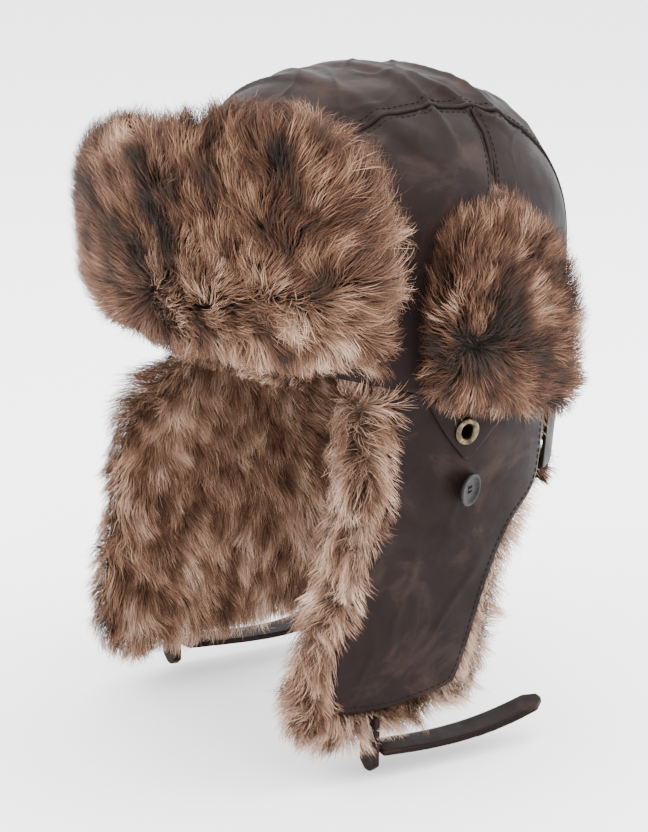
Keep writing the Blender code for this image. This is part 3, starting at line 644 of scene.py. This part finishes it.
def fur_pieces(name, node, body, lay, tint, length, covers, bald=None):
    """Makes the pieces of one fur pad, which replace its CAD node. Pieces on the crown go on its body; the
    others only have their transform baked in.

    No hair grows where nodes whose names start with covers lie over the pad, or round the point bald.
    """
    points, normals, faces = skin_of(node)
    finder = tree_of(points, faces)
    roots, ups = roots_on(points, normals, faces, HAIR_DENSITY)
    shapes = [arrays_of(obj) for other, obj in nodes.items() if other.startswith(covers)]
    free = uncovered(roots, ups, [tree_of(shape[0], shape[2]) for shape in shapes])
    if bald is not None:
        free &= np.linalg.norm(roots - bald, axis=1) > BALD_RADIUS
    roots, ups = roots[free], ups[free]
    lengths = length(roots) * dice.uniform(*LENGTH_SPREAD, len(roots))
    chains, all_ups = grown(roots, ups, finder, lay, lengths)
    chains, leader = gathered(chains)
    own = tint(chains[:, 2]) + dice.normal(0, TINT_SPREAD, len(roots))
    shade = np.clip((1 - LOCK_TINT_SHARE) * own + LOCK_TINT_SHARE * own[leader], 0.01, 0.99)
    for number, first in enumerate(range(0, len(roots), HAIRS_IN_A_PIECE), 1):
        part = slice(first, first + HAIRS_IN_A_PIECE)
        places, corners, sizes, shares = ribbons(chains[part], all_ups[part])
        uvs = np.stack([np.repeat(shade[part], 9), shares], 1)
        if first == 0:
            corners = np.concatenate([corners, (faces + len(places)).ravel()])
            sizes = np.concatenate([sizes, np.full(len(faces), 3)])
            # The skin takes the dark root colour and is darker still. This is partly painted shade deep in
            # the pile.
            skin_tint = np.clip(tint(points) - 0.1, 0.01, 0.99)
            uvs = np.vstack([uvs, np.stack([skin_tint, np.full(len(points), 0.1)], 1)])
            places = np.vstack([places, points])
        title = f"{name}_{number}"
        piece = as_object(title, mesh_of(title, places, corners, sizes, uvs), FUR)
        if body == "crown":
            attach(piece, body)
        else:
            join_at_fold(piece, body)
        if first == 0:
            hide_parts(node)


def lay_from(whorls, flow):
    """A lay that spreads from whorls, (centre, weight) each, over a steady flow(points)."""

    def lay(points):
        way = flow(points)
        for centre, weight in whorls:
            apart = points - np.array(centre)
            far = np.linalg.norm(apart, axis=1)[:, None]
            way = way + weight * apart / (far + 4 * MM) * (30 * MM / (far + 25 * MM))
        return way

    return lay


SWIRL = [Ripple(seed, 26 * MM) for seed in (11, 12, 13)]
TOUSLE = [Ripple(seed, 7 * MM) for seed in (14, 15, 16)]
PATCHES = Ripple(21, 13 * MM)
STREAKS = Ripple(22, 5 * MM)
FINE = Ripple(23, 2.4 * MM)


def swirled(points, amount=SWIRL_SHARE):
    """How far the whole lay sways."""
    return amount * np.stack([field(points) for field in SWIRL], 1)


def tousled(points):
    """How far locks stray from the lay."""
    return TOUSLE_SHARE * np.stack([field(points) for field in TOUSLE], 1)


def mottled(points, base, patch=0.13, streak=0.14, squeeze=(1, 1, 0.6)):
    """A patchy tint, drawn out along Z as the pile lies."""
    placed = points * np.array(squeeze)
    return base + patch * PATCHES(placed) + streak * STREAKS(placed) + 0.08 * FINE(placed)


def near(points, centre, radius):
    """1 at centre, falling to 0 past radius."""
    far = np.linalg.norm(points - np.array(centre), axis=1)
    return np.exp(-((far / radius) ** 2))


# ---- Leather


def crown_outward(points):
    """Directions out of the crown."""
    middle = np.array([0, 0, 40 * MM])
    return unit((points - middle) * (1, 0.8, 1) * np.where(points[:, 2:] > DOME_START, 1, (1, 1, 0.15)))


def seam_nearness(points, reach):
    """1 on a crown seam, falling to 0 at reach from it."""
    off_top = np.abs(np.abs(points[:, 0]) - TOP_SEAM_X)
    off_side = np.abs(points[:, 1] - side_seam_y(points[:, 2]))
    off_side = np.where(np.abs(points[:, 0]) > TOP_SEAM_X, off_side, 1)
    return eased(1 - np.minimum(off_top, off_side) / reach)


FOLDS = [Ripple(seed, size * MM, 8) for seed, size in ((31, 30), (32, 17))]


def ridged(field, points):
    """Thin folds where a field crosses zero."""
    return np.exp(-((field(points) / 0.22) ** 2))


def side_seam_y(heights):
    return SIDE_SEAM_Y + SIDE_SEAM_SWEEP * eased((heights - DOME_START) / (72 * MM))


def seam_swept(points):
    """Slides the side panels back over the dome, so that their shared seam leans."""
    near_seam = np.exp(-(((points[:, 1] - SIDE_SEAM_Y) / (48 * MM)) ** 2))
    back = (side_seam_y(points[:, 2]) - SIDE_SEAM_Y) * near_seam

    def height_share(across, along):
        rest = 1 - (np.abs(across) / CROWN_HALF_SIZE[0]) ** CROWN_POWER
        rest -= (np.abs(along) / CROWN_HALF_SIZE[1]) ** CROWN_POWER
        return np.maximum(rest, 1e-4) ** (1 / CROWN_POWER)

    before = height_share(points[:, 0], points[:, 1])
    after = height_share(points[:, 0], points[:, 1] + back)
    fall = (after - before) * CROWN_HALF_SIZE[2] * (before > 0.05)
    return np.stack([np.zeros(len(points)), back, fall], 1)


def crown_wear(points):
    """How the soft crown lies: panels swell between their seams, and the top has slack folds."""
    swell = 1.1 * MM * (1 - seam_nearness(points, 16 * MM)) - 0.7 * MM * seam_nearness(points, 5 * MM)
    slack = past(points[:, 2], 95, 45)
    stretched = points * (0.6, 1.5, 1)
    folds = 2.2 * MM * ridged(FOLDS[0], stretched) + 0.8 * MM * ridged(FOLDS[1], stretched)
    lumps = 0.9 * MM * FOLDS[0](points * 0.8)
    height = swell + slack * (folds - 0.8 * MM) + lumps * (0.4 + 0.6 * slack)
    return crown_outward(points) * height[:, None]


def flap_wear(points):
    """How the ear flaps lie: slow waves and a few soft creases."""
    side = np.sign(points[:, :1])
    height = 0.9 * MM * FOLDS[0](points) + 0.5 * MM * ridged(FOLDS[1], points * (1, 1, 0.6))
    hang = past(-points[:, 2], 8, 40)
    calm = 1 - near(points, mm(side[0, 0] * 90, -1, -28), 30 * MM)
    return side * (1, 0, 0) * (height * hang * calm)[:, None]


def outline_of(node, outward):
    """The border of the CAD face that looks outward, as points and normals in order."""
    maker = sharp_bmesh(node)
    outward = Vector(outward)
    seed = max(maker.faces, key=lambda f: f.normal.dot(outward) * f.calc_area())
    region, edge_of = {seed}, [seed]
    while edge_of:
        face = edge_of.pop()
        for edge in face.edges:
            if edge.calc_face_angle(3) > SHARP_EDGE:
                continue
            for other in edge.link_faces:
                if other not in region:
                    region.add(other)
                    edge_of.append(other)
    links = {}
    for edge in maker.edges:
        if sum(face in region for face in edge.link_faces) != 1:
            continue
        a, b = edge.verts
        links.setdefault(a, []).append(b)
        links.setdefault(b, []).append(a)
    loops = []
    while links:
        first = next(iter(links))
        loop, last = [first], None
        while True:
            ways = [v for v in links.pop(loop[-1], []) if v is not last and v in links]
            if not ways:
                break
            last = loop[-1]
            loop.append(ways[0])
        loops.append(loop)
    longest = max(loops, key=len)
    points = np.array([v.co for v in longest])
    normals = np.array([sum((f.normal for f in v.link_faces if f in region), Vector()) for v in longest])
    maker.free()
    return points, unit(normals)


def even_outline(node, sign):
    """Even points round a CAD node's outer face, and the normals by them."""
    points, normals = outline_of(node, (sign, 0, 0))
    even = resampled(points, LINE_PITCH, True)
    return even, normals_by(points, normals, even)


def sewn_round(name, obj, node, sign, inset, pitch=STITCH_PITCH):
    """Stitches that run round a piece's outer face, inset from its border."""
    even, ups = even_outline(node, sign)
    inward = np.cross(ups, slopes(even, True))
    middle = even.mean(0)
    if ((middle - even) * inward).sum() < 0:
        inward = -inward
    line = even + unit(inward) * inset
    for _ in range(6):
        line = (np.roll(line, 1, axis=0) + 2 * line + np.roll(line, -1, axis=0)) / 4
    surface = tree_of(*(arrays_of(obj)[k] for k in (0, 2)))
    placed, fresh = [], []
    for point, up in zip(line, ups):
        hit = surface.ray_cast(Vector(point + up * 6 * MM), -Vector(up), 12 * MM)
        if hit[0] is None:
            hit = surface.find_nearest(Vector(point))
        placed.append(hit[0])
        fresh.append(hit[1])
    return stitches(name, [(np.array(placed), np.array(fresh), True)], pitch)


def cast_line(surface, starts, ways):
    """Where rays meet a surface: points and normals. Rays that miss are left out."""
    reach = FAR_OUT + 100 * MM
    hits = [surface.ray_cast(Vector(s), Vector(w).normalized(), reach) for s, w in zip(starts, ways)]
    hits = [h for h in hits if h[0] is not None]
    return np.array([h[0] for h in hits]), np.array([h[1] for h in hits])


def over_crown(surface, x, low_front, low_back):
    """The line over the crown at one x, from brow to nape."""
    starts, ways = [], []
    for z in np.linspace(low_front, DOME_START, 14)[:-1]:
        starts.append((x, -FAR_OUT, z))
        ways.append((0, 1, 0))
    for turn in np.linspace(0, math.pi, 70):
        out = np.array([0, -math.cos(turn), math.sin(turn)])
        starts.append(np.array([x, 0, DOME_START]) + FAR_OUT * out)
        ways.append(-out)
    for z in np.linspace(DOME_START, low_back, 14)[1:]:
        starts.append((x, FAR_OUT, z))
        ways.append((0, -1, 0))
    return cast_line(surface, starts, ways)


def up_crown_side(surface, shift, side, low):
    """The line beside one of the side seams, shifted back from it, from the rim to the top seam."""
    starts, ways = [], []
    for z in np.linspace(low, DOME_START, 18)[:-1]:
        starts.append((side * FAR_OUT, SIDE_SEAM_Y + shift, z))
        ways.append((-side, 0, 0))
    for turn in np.linspace(0, math.radians(56), 26):
        out = np.array([side * math.cos(turn), 0, math.sin(turn)])
        height = DOME_START + 90 * MM * math.sin(turn)
        starts.append(np.array([0, side_seam_y(height) + shift, DOME_START]) + FAR_OUT * out)
        ways.append(-out)
    points, normals = cast_line(surface, starts, ways)
    keep = np.abs(points[:, 0]) > TOP_SEAM_X
    return points[keep], normals[keep]


def stand_in(name, node, material, levels=3, crease=0.7, shifts=()):
    """A smooth piece that replaces a CAD node, moved by each of shifts in turn."""
    piece = smoothed(name, node, material, levels, crease)
    for shift in shifts:
        moved(piece, shift)
    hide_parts(node)
    return piece


def seam_welt(name, one, other, lift, radius):
    """A piped welt midway between two lines, each of them (points, normals)."""
    count = min(len(one[0]), len(other[0]))
    middle = (one[0][:count] + other[0][:count]) / 2
    line = resampled(middle, LINE_PITCH)
    ups = normals_by(middle, unit(one[1][:count] + other[1][:count]), line)
    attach(tube(name, line + ups * lift, ups, radius, WELT), "crown")


def crown():
    """The crown's leather panels with welted, stitched seams."""
    low_front, low_back, low_side = 34 * MM, -14 * MM, 2 * MM
    names = ["crown_top_panel"]
    names += [f"crown_{end}_side_{side}" for end in ("front", "back") for side, _ in SIDES]
    shapes = []
    for node in names:
        shifts = (seam_swept, crown_wear) if "side" in node else (crown_wear,)
        panel = stand_in(f"{node}_leather", node, LEATHER, shifts=shifts)
        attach(panel, "crown")
        shapes.append(arrays_of(panel))
    offsets = np.cumsum([0] + [len(shape[0]) for shape in shapes[:-1]])
    points = np.vstack([shape[0] for shape in shapes])
    surface = tree_of(points, np.vstack([shape[2] + offset for shape, offset in zip(shapes, offsets)]))
    rows = []
    for side, sign in SIDES:

        def top_line(shift):
            return over_crown(surface, sign * (TOP_SEAM_X + shift), low_front, low_back)

        def side_line(shift):
            return up_crown_side(surface, shift, sign, low_side)

        for seam, line_at, lift, radius in (
            ("top", top_line, 0.15 * MM, 1.25 * MM),
            ("side", side_line, 0.1 * MM, 1.0 * MM),
        ):
            one, other = line_at(-BESIDE_SEAM), line_at(BESIDE_SEAM)
            seam_welt(f"{seam}_seam_welt_{side}", one, other, lift, radius)
            rows += [(*line_at(shift), False) for shift in (-SEWN_FROM_SEAM, SEWN_FROM_SEAM)]
    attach(stitches("crown_stitches", rows), "crown")


def declare_sheet(sheet):
    """Reads the sheet's points and faces, and does nothing more with them."""
    points, _, faces = arrays_of(sheet)


def tucked(points):
    """Carries the neck guard's top edge up behind the crown's rim, so that no light shows through."""
    shift = np.zeros_like(points)
    edge = eased(1 - (rim_heights(points[:, 1]) - points[:, 2]) / (4 * MM))
    shift[:, 1] = -1.2 * MM * edge
    shift[:, 2] = 2.2 * MM * edge
    return shift


def leather_flaps():
    """The flat leather pieces: ear flaps, tabs, ear covers, the front flap's backing and the neck guard."""
    for side, sign in SIDES:
        body, node, tab_node = f"ear_flap_{side}", f"ear_flap_leather_{side}", f"ear_tab_{side}"
        flap = stand_in(f"ear_flap_sheet_{side}", node, LEATHER, shifts=(flap_wear,))
        sewing = sewn_round(f"ear_flap_stitches_{side}", flap, node, sign, 3 * MM)
        tab = stand_in(f"ear_tab_sheet_{side}", tab_node, LEATHER, 2)
        tab_sewing = sewn_round(f"ear_tab_stitches_{side}", tab, tab_node, sign, 2 * MM, FINE_PITCH)
        for piece in (flap, sewing, tab, tab_sewing):
            join_at_fold(piece, body)
        declare_sheet(flap)
        cover = stand_in(f"ear_cover_sheet_{side}", f"ear_cover_leather_{side}", BACKING)
        join_at_fold(cover, f"ear_cover_{side}")
        declare_sheet(cover)

    for body, material, slot, shifts in (
        ("front_flap", BACKING, "flap_backing", ()),
        ("neck_guard", LEATHER, "waxed_leather", (tucked,)),
    ):
        sheet = stand_in(f"{body}_sheet", f"{body}_leather", material, shifts=shifts)
        join_at_fold(sheet, body)
        declare_sheet(sheet)


def lining():
    """The quilted lining and the sweatband inside the head opening."""
    pitch = 22 * MM

    def quilting(points):
        turn = np.arctan2(points[:, 1], points[:, 0]) * 95 * MM
        up = points[:, 2]
        one = np.abs(np.sin((turn + up) * math.pi / pitch))
        two = np.abs(np.sin((turn - up) * math.pi / pitch))
        inner = eased((0.93 - np.linalg.norm(points / (88 * MM, 108 * MM, 140 * MM), axis=1)) / 0.05)
        depth = 1.1 * MM * np.minimum(one, two) ** 0.6 * (1 - past(up, 98, 30))
        return -unit(points * (1, 1, 0.6)) * (depth * inner)[:, None]

    for name, node, shifts in (
        ("quilted_lining", "crown_lining", (quilting,)),
        ("sweatband_ring", "sweatband", ()),
    ):
        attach(stand_in(name, node, SATIN, 2, shifts=shifts), "crown")


def anchor_rise(points):
    """Carries an anchor's top up into the fur that it is sewn behind."""
    shift = np.zeros_like(points)
    shift[:, 2] = 14 * MM * past(points[:, 2], -186, 9)
    return shift


def straps():
    """The chin straps, with the pale raw edge between their two layers, and their anchors."""
    for side, sign in SIDES:
        body = node = f"chin_strap_{side}"
        strap = stand_in(f"chin_strap_band_{side}", node, LEATHER, crease=0.9)
        sewing = sewn_round(f"chin_strap_stitches_{side}", strap, node, sign, 1.7 * MM, FINE_PITCH)
        even, ups = even_outline(node, sign)
        middle = np.polyval(np.polyfit(even[:, 1], even[:, 2], 3), even[:, 1])
        lower = np.flatnonzero(even[:, 2] < middle)
        lower = lower[np.argsort(even[lower, 1])][1:-1]
        line = resampled(even[lower] - ups[lower] * 1.5 * MM, LINE_PITCH)
        ups = normals_by(even, ups, line)
        edge = tube(f"chin_strap_edge_{side}", line, ups, 0.5 * MM, EDGE)
        for piece in (strap, sewing, edge):
            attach(piece, body)
        name, node = f"strap_anchor_leather_{side}", f"strap_anchor_{side}"
        anchor = stand_in(name, node, LEATHER, crease=0.85, shifts=(anchor_rise,))
        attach(anchor, f"ear_flap_{side}")


# ---- Hardware


def own_frame(node, outward):
    """A frame at a round part's middle, with Z along its axis."""
    points, _, _ = arrays_of(nodes[node])
    points = np.unique(np.round(points, 6), axis=0)
    low, high = points.min(0), points.max(0)
    middle = (low + high) / 2
    _, _, ways = np.linalg.svd(points - points.mean(0))
    axis = ways[2] * np.sign(ways[2] @ np.array(outward))
    across = unit(np.cross([[0, 0, 1.0]], axis[None]))[0]
    up = np.cross(axis, across)
    heights = (points - middle) @ axis
    return middle, np.stack([across, up, axis]), heights.min(), heights.max()


def turned(name, profile, spot, material, segments=64):
    """A ring or disc turned about a frame's Z axis from (radius, height) points. The profile is closed."""
    middle, axes = spot
    turns = np.arange(segments) * math.tau / segments
    places = []
    for turn in turns:
        for r, h in profile:
            places.append(middle + np.array([r * math.cos(turn), r * math.sin(turn), h]) @ axes)
    corners = ring_quads(segments, len(profile), True)[:, (0, 3, 2, 1)]
    mesh = mesh_of(name, np.array(places), corners.ravel(), np.full(len(corners), 4))
    return as_object(name, mesh, material)


def painted(node, material):
    """Gives its material to a CAD node that is shown as it is."""
    for slot in nodes[node].material_slots:
        slot.material = material


def profiled(name, profile, top, spot, material):
    """A turned piece from a profile in millimetres, whose heights are measured from its top."""
    return turned(name, [(r * MM, top + h * MM) for r, h in profile], spot, material)


def fitted(piece, body, node):
    """Puts a piece on its body in place of its CAD node."""
    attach(piece, body)
    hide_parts(node)


def eyelet(side, sign, body):
    """A rolled eyelet: a barrel with a rounded rim."""
    middle, axes, low, high = own_frame(f"eyelet_{side}", (sign, 0, 0))
    foot = (low - high) / MM
    profile = [(3.4, foot), (4.0, foot), (4.0, -1.3), (6.6, -1.35), (7.0, -1.1), (6.8, -0.55)]
    profile += [(6.0, -0.12), (5.2, 0), (4.4, -0.15), (3.7, -0.7), (3.4, -1.5)]
    ring = profiled(f"eyelet_ring_{side}", profile, high, (middle, axes), BRASS)
    fitted(ring, body, f"eyelet_{side}")
    painted(f"eyelet_washer_{side}", BRASS)


def drilled(disc, place, axes):
    """Cuts one thread hole through a button."""
    radius, reach, thin = 0.8 * MM, 4 * MM, 0.001 * MM
    drill = [(thin, -reach), (radius, -reach), (radius, reach), (thin, reach)]
    cutter = turned("drill", drill, (place, axes), PLASTIC, 16)
    cut = disc.modifiers.new("hole", "BOOLEAN")
    cut.operation = "DIFFERENCE"
    cut.object = cutter
    cut.solver = "EXACT"
    settle(disc)
    bpy.data.objects.remove(cutter, do_unlink=True)


def button(side, sign, body):
    """A four-hole button with a raised rim, and two loops of thread."""
    middle, axes, _, high = own_frame(f"button_{side}", (sign, 0, 0))
    profile = [(0.02, -2.7), (5.8, -2.7), (7.6, -2.2), (8.4, -1.4), (8.5, -0.8), (8.1, -0.2)]
    profile += [(7.4, 0), (6.7, -0.25), (6.1, -0.8), (5.2, -1.15), (3.4, -1.25), (0.02, -1.2)]
    disc = profiled(f"button_disc_{side}", profile, high, (middle, axes), PLASTIC)
    spread, sink = 1.6 * MM, axes[2] * 1.2 * MM
    holes = []
    for turn in np.radians((45, 135, 225, 315)):
        place = middle + spread * np.array([math.cos(turn), math.sin(turn), 0]) @ axes
        drilled(disc, place, axes)
        holes.append(place)
    face = axes[2] * high - sink
    for k in range(2):
        first, last = holes[2 * k : 2 * k + 2]
        path = []
        for share, rise in ((0, 0), (0.25, 0.55), (0.5, 0.7), (0.75, 0.55), (1, 0)):
            path.append(first * (1 - share) + last * share + face + axes[2] * (rise - 0.3) * MM)
        path = np.array([path[0] - sink, *path, path[-1] - sink])
        ups = np.tile(axes[0] + axes[1], (len(path), 1))
        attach(tube(f"button_loop_{side}_{k}", path, ups, 0.42 * MM, THREAD), body)
    disc.data.shade_smooth()
    disc.data.set_sharp_from_angle(angle=math.radians(40))
    fitted(disc, body, f"button_{side}")
    painted(f"button_thread_{side}", THREAD)


def hardware():
    """Brass eyelets, buttons with their thread, and the hooks and loops of the touch fastener."""
    for side, sign in SIDES:
        eyelet(side, sign, f"ear_flap_{side}")
        button(side, sign, f"ear_flap_{side}")
    for node in ("strap_hook_patch_left", "strap_loop_patch_right"):
        painted(node, TOUCH)


# ---- The coats of fur


def front_flap_coat():
    """The turned-up flap: two whorls low on it, hair spreading up and out, and a pale fringe below."""
    whorls = ((mm(25, -136, 57), 2.4), (mm(101, -82, 74), 1.5))
    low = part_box("front_flap_fur")[0][2]

    def flow(points):
        x, _, z = points.T
        up = np.tile((0.12, 0, 0.55), (len(points), 1))
        fringe = (1 - past(z - low, 8, 14))[:, None]
        end = past(x, 76, 14) * past(z, 45, 30)
        up = up + end[:, None] * (0.4, 0.9, 0.4)
        return up * (1 - fringe) + fringe * (0.2, 0.2, -1.6) + swirled(points)

    def tint(points):
        x, _, z = points.T
        value = mottled(points, 0.53)
        value -= 0.26 * near(points, whorls[0][0], 19 * MM) + 0.26 * near(points, whorls[1][0], 13 * MM)
        value += 0.20 * (1 - past(z - low, 6, 10))
        value += 0.08 * past(x, 70, 40) - 0.08 * past(z, 70, 30)
        value -= 0.14 * near(points, mm(84, -103, 112), 18 * MM)
        value -= 0.14 * near(points, mm(-24, -135, 92), 22 * MM)
        return value

    def length(roots):
        x, _, z = roots.T
        fringe = 1 - past(z - low, 8, 16)
        end = past(x, 78, 18) * past(z, 50, 30)
        middle = 1 - past(np.abs(x), 45, 30)
        return (17 - 8 * fringe * middle + 12 * end) * MM

    lay = lay_from(whorls, flow)
    covers = "front_flap_leather"
    fur_pieces("front_flap_pile", "front_flap_fur", "front_flap", lay, tint, length, covers)


def plain_coat(name, node, body, way, tints, length, covers):
    """Hair of one length that lies one way."""

    def flow(points):
        return np.tile(way, (len(points), 1)) + swirled(points)

    def tint(points):
        return mottled(points, *tints)

    fur_pieces(name, node, body, flow, tint, lambda roots: length, covers)


def ear_flap_coat(side, sign):
    """The fur inside and round an ear flap, hanging down, with paler hair at its back and bottom."""
    whorls = ((mm(sign * 84, -60, -12), 0.9),)
    front_corner = mm(sign * 88, -84, -14)
    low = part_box(f"ear_flap_fur_{side}")[0][2]

    def flow(points):
        x, y, z = points.T
        hang = np.tile((0, 0, -1.0), (len(points), 1))
        hang[:, 2] += 1.8 * past(z, -2, 14) * past(-y, 0, 30)
        if sign < 0:
            hang += near(points, front_corner, 26 * MM)[:, None] * (-1.2, -1.6, 0.7)
        hang[:, 1] += 1.2 * past(y, 48, 12) * past(z, -50, 15)
        from_middle = (y + 64 * MM) / (20 * MM)
        hang[:, 1] += 0.45 * np.clip(from_middle, -1.2, 1.2) * past(sign * x, 70, 10)
        return hang + swirled(points, 0.32)

    def tint(points):
        x, y, z = points.T
        # Each flap has its own base tint. The right flap's tint was raised to lift the shade it hangs in on
        # the far side from the camera, as painted light.
        value = mottled(points, 0.77 if sign > 0 else 0.66, 0.08, 0.11)
        back_edge = 58 * MM + 0.42 * (z + 15 * MM)
        value += 0.40 * past(sign * x, 64, 10) * past(y - back_edge, -6, 9)
        value += 0.16 * (1 - past(z - low, 4, 18))
        value -= 0.12 * near(points, whorls[0][0], 14 * MM)
        return value

    def length(roots):
        by_strap = near(roots, anchor, 15 * MM)
        by_front = near(roots, front_corner, 24 * MM) * (sign < 0)
        return (16 + 9 * by_strap + 12 * by_front) * MM

    anchor = np.array(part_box(f"strap_anchor_{side}")).mean(0)
    bald = np.array(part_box(f"eyelet_{side}")).mean(0)
    lay = lay_from(whorls, flow)
    name, node, body = (f"ear_flap_{word}{side}" for word in ("pile_", "fur_", ""))
    fur_pieces(name, node, body, lay, tint, length, f"ear_flap_leather_{side}", bald)


def ear_cover_coat(side, sign):
    """The folded-up cover: hair spreading from a dark whorl low on it."""
    whorls = ((mm(sign * 112, -16, 34), 2.0), (mm(sign * 112, 16, 30), 0.9))
    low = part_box(f"ear_cover_fur_{side}")[0][2]

    def by_edge(points, height, fade):
        """1 at the sloping lower edge, falling to 0 at a height above it. Both sizes are in millimetres."""
        above = points[:, 2] + RIM_SLOPE * points[:, 1] - low
        return 1 - past(above, height - fade, fade)

    def flow(points):
        up = np.tile((0, 0.1, 0.45), (len(points), 1))
        fringe = by_edge(points, 26, 16)[:, None]
        return up * (1 - fringe) + fringe * (0.3 * sign, 0, -1.4) + swirled(points)

    def tint(points):
        value = mottled(points, 0.49)
        value -= 0.28 * near(points, whorls[0][0], 15 * MM) + 0.15 * near(points, whorls[1][0], 11 * MM)
        value += 0.20 * by_edge(points, 18, 10)
        value += 0.12 * past(points[:, 1], 40, 20)
        return value

    def length(roots):
        return (15 - 6 * by_edge(roots, 24, 16)) * MM

    lay = lay_from(whorls, flow)
    name, node, body = (f"ear_cover_{word}{side}" for word in ("pile_", "fur_", ""))
    fur_pieces(name, node, body, lay, tint, length, f"ear_cover_leather_{side}")


# ---- The studio


def studio():
    """A pale floor, soft light from all round, and the camera."""
    low = cad_box[0][2] - 4 * MM
    floor_size = 9  # metres from the middle to each side
    mesh = bpy.data.meshes.new("floor")
    corners = [(x * floor_size, y * floor_size, low) for x, y in ((-1, -1), (1, -1), (1, 1), (-1, 1))]
    mesh.from_pydata(corners, [], [(0, 1, 2, 3)])
    material, _, shader = new_material("floor")
    set_inputs(shader, Base_Color=(0.93, 0.93, 0.94, 1), Roughness=0.9, Specular_IOR_Level=0.1)
    as_object("floor", mesh, material)

    world = bpy.data.worlds.new("studio")
    world.use_nodes = True
    set_inputs(world.node_tree.nodes["Background"], Color=(0.97, 0.98, 1.0, 1), Strength=3.8)
    bpy.context.scene.world = world

    middle = Vector((0, 0, 0))
    for name, place, size, power in (
        ("key", (-0.3, -1.5, 1.4), 1.2, 36),
        ("rim", (0.9, 1.3, 1.2), 1.0, 26),
        ("top", (0.1, 0.2, 1.9), 1.4, 40),
    ):
        light = bpy.data.lights.new(name, "AREA")
        light.energy = power
        light.size = size
        lamp = bpy.data.objects.new(name, light)
        lamp.location = place
        lamp.rotation_euler = (middle - Vector(place)).to_track_quat("-Z", "Y").to_euler()
        bpy.context.scene.collection.objects.link(lamp)

    camera = bpy.data.cameras.new("camera")
    camera.sensor_fit = "VERTICAL"
    camera.sensor_height = 36
    camera.lens = LENS
    eye = bpy.data.objects.new("camera", camera)
    azimuth, elevation, roll = (math.radians(angle) for angle in CAMERA_ANGLES)
    level = Vector((math.sin(azimuth), -math.cos(azimuth), 0))
    away = level * math.cos(elevation) + Vector((0, 0, math.sin(elevation)))
    right = Vector((math.cos(azimuth), math.sin(azimuth), 0))
    up = away.cross(right)
    right, up = right * math.cos(roll) + up * math.sin(roll), up * math.cos(roll) - right * math.sin(roll)
    turn = Matrix((right, up, away)).transposed().to_4x4()
    eye.matrix_world = Matrix.Translation(CAMERA_PLACE) @ turn
    bpy.context.scene.collection.objects.link(eye)
    bpy.context.scene.camera = eye


FUR = fur_material()
LEATHER = leather_material("waxed_leather_look", (0.0052, 0.0030, 0.0027), (0.021, 0.0125, 0.0098))
WELT = leather_material("welt_leather_look", (0.005, 0.0034, 0.003), (0.013, 0.009, 0.0075))
BACKING = leather_material("backing_leather_look", (0.012, 0.008, 0.007), (0.025, 0.018, 0.014), (0.6, 0.8))
SATIN = satin_material("lining_satin", (0.016, 0.013, 0.012), (0.030, 0.024, 0.021))
BRASS = metal_material("antique_brass_look")
PLASTIC = plastic_material("button_plastic_look")
THREAD = thread_material("thread_look", (0.003, 0.002, 0.0018), (0.010, 0.007, 0.006))
EDGE = thread_material("raw_edge_look", (0.16, 0.13, 0.11), (0.34, 0.29, 0.25))
TOUCH = thread_material("touch_fastener_look", (0.008, 0.008, 0.008), (0.03, 0.03, 0.03))

crown()
leather_flaps()
lining()
straps()
hardware()
front_flap_coat()
over_brow = ("front_flap_leather", "crown_top", "crown_front")
plain_coat("brow_pile", "brow_fur_edge", "crown", (0, -0.5, -1.0), (0.68, 0.15), 6 * MM, over_brow)
for side_name, side_sign in SIDES:
    ear_flap_coat(side_name, side_sign)
    ear_cover_coat(side_name, side_sign)
nape = ("neck_guard_pile", "neck_guard_fur", "neck_guard")
plain_coat(*nape, (0, 0.15, -1.0), (0.6, 0.16, 0.1), 13 * MM, "neck_guard_leather")
studio()
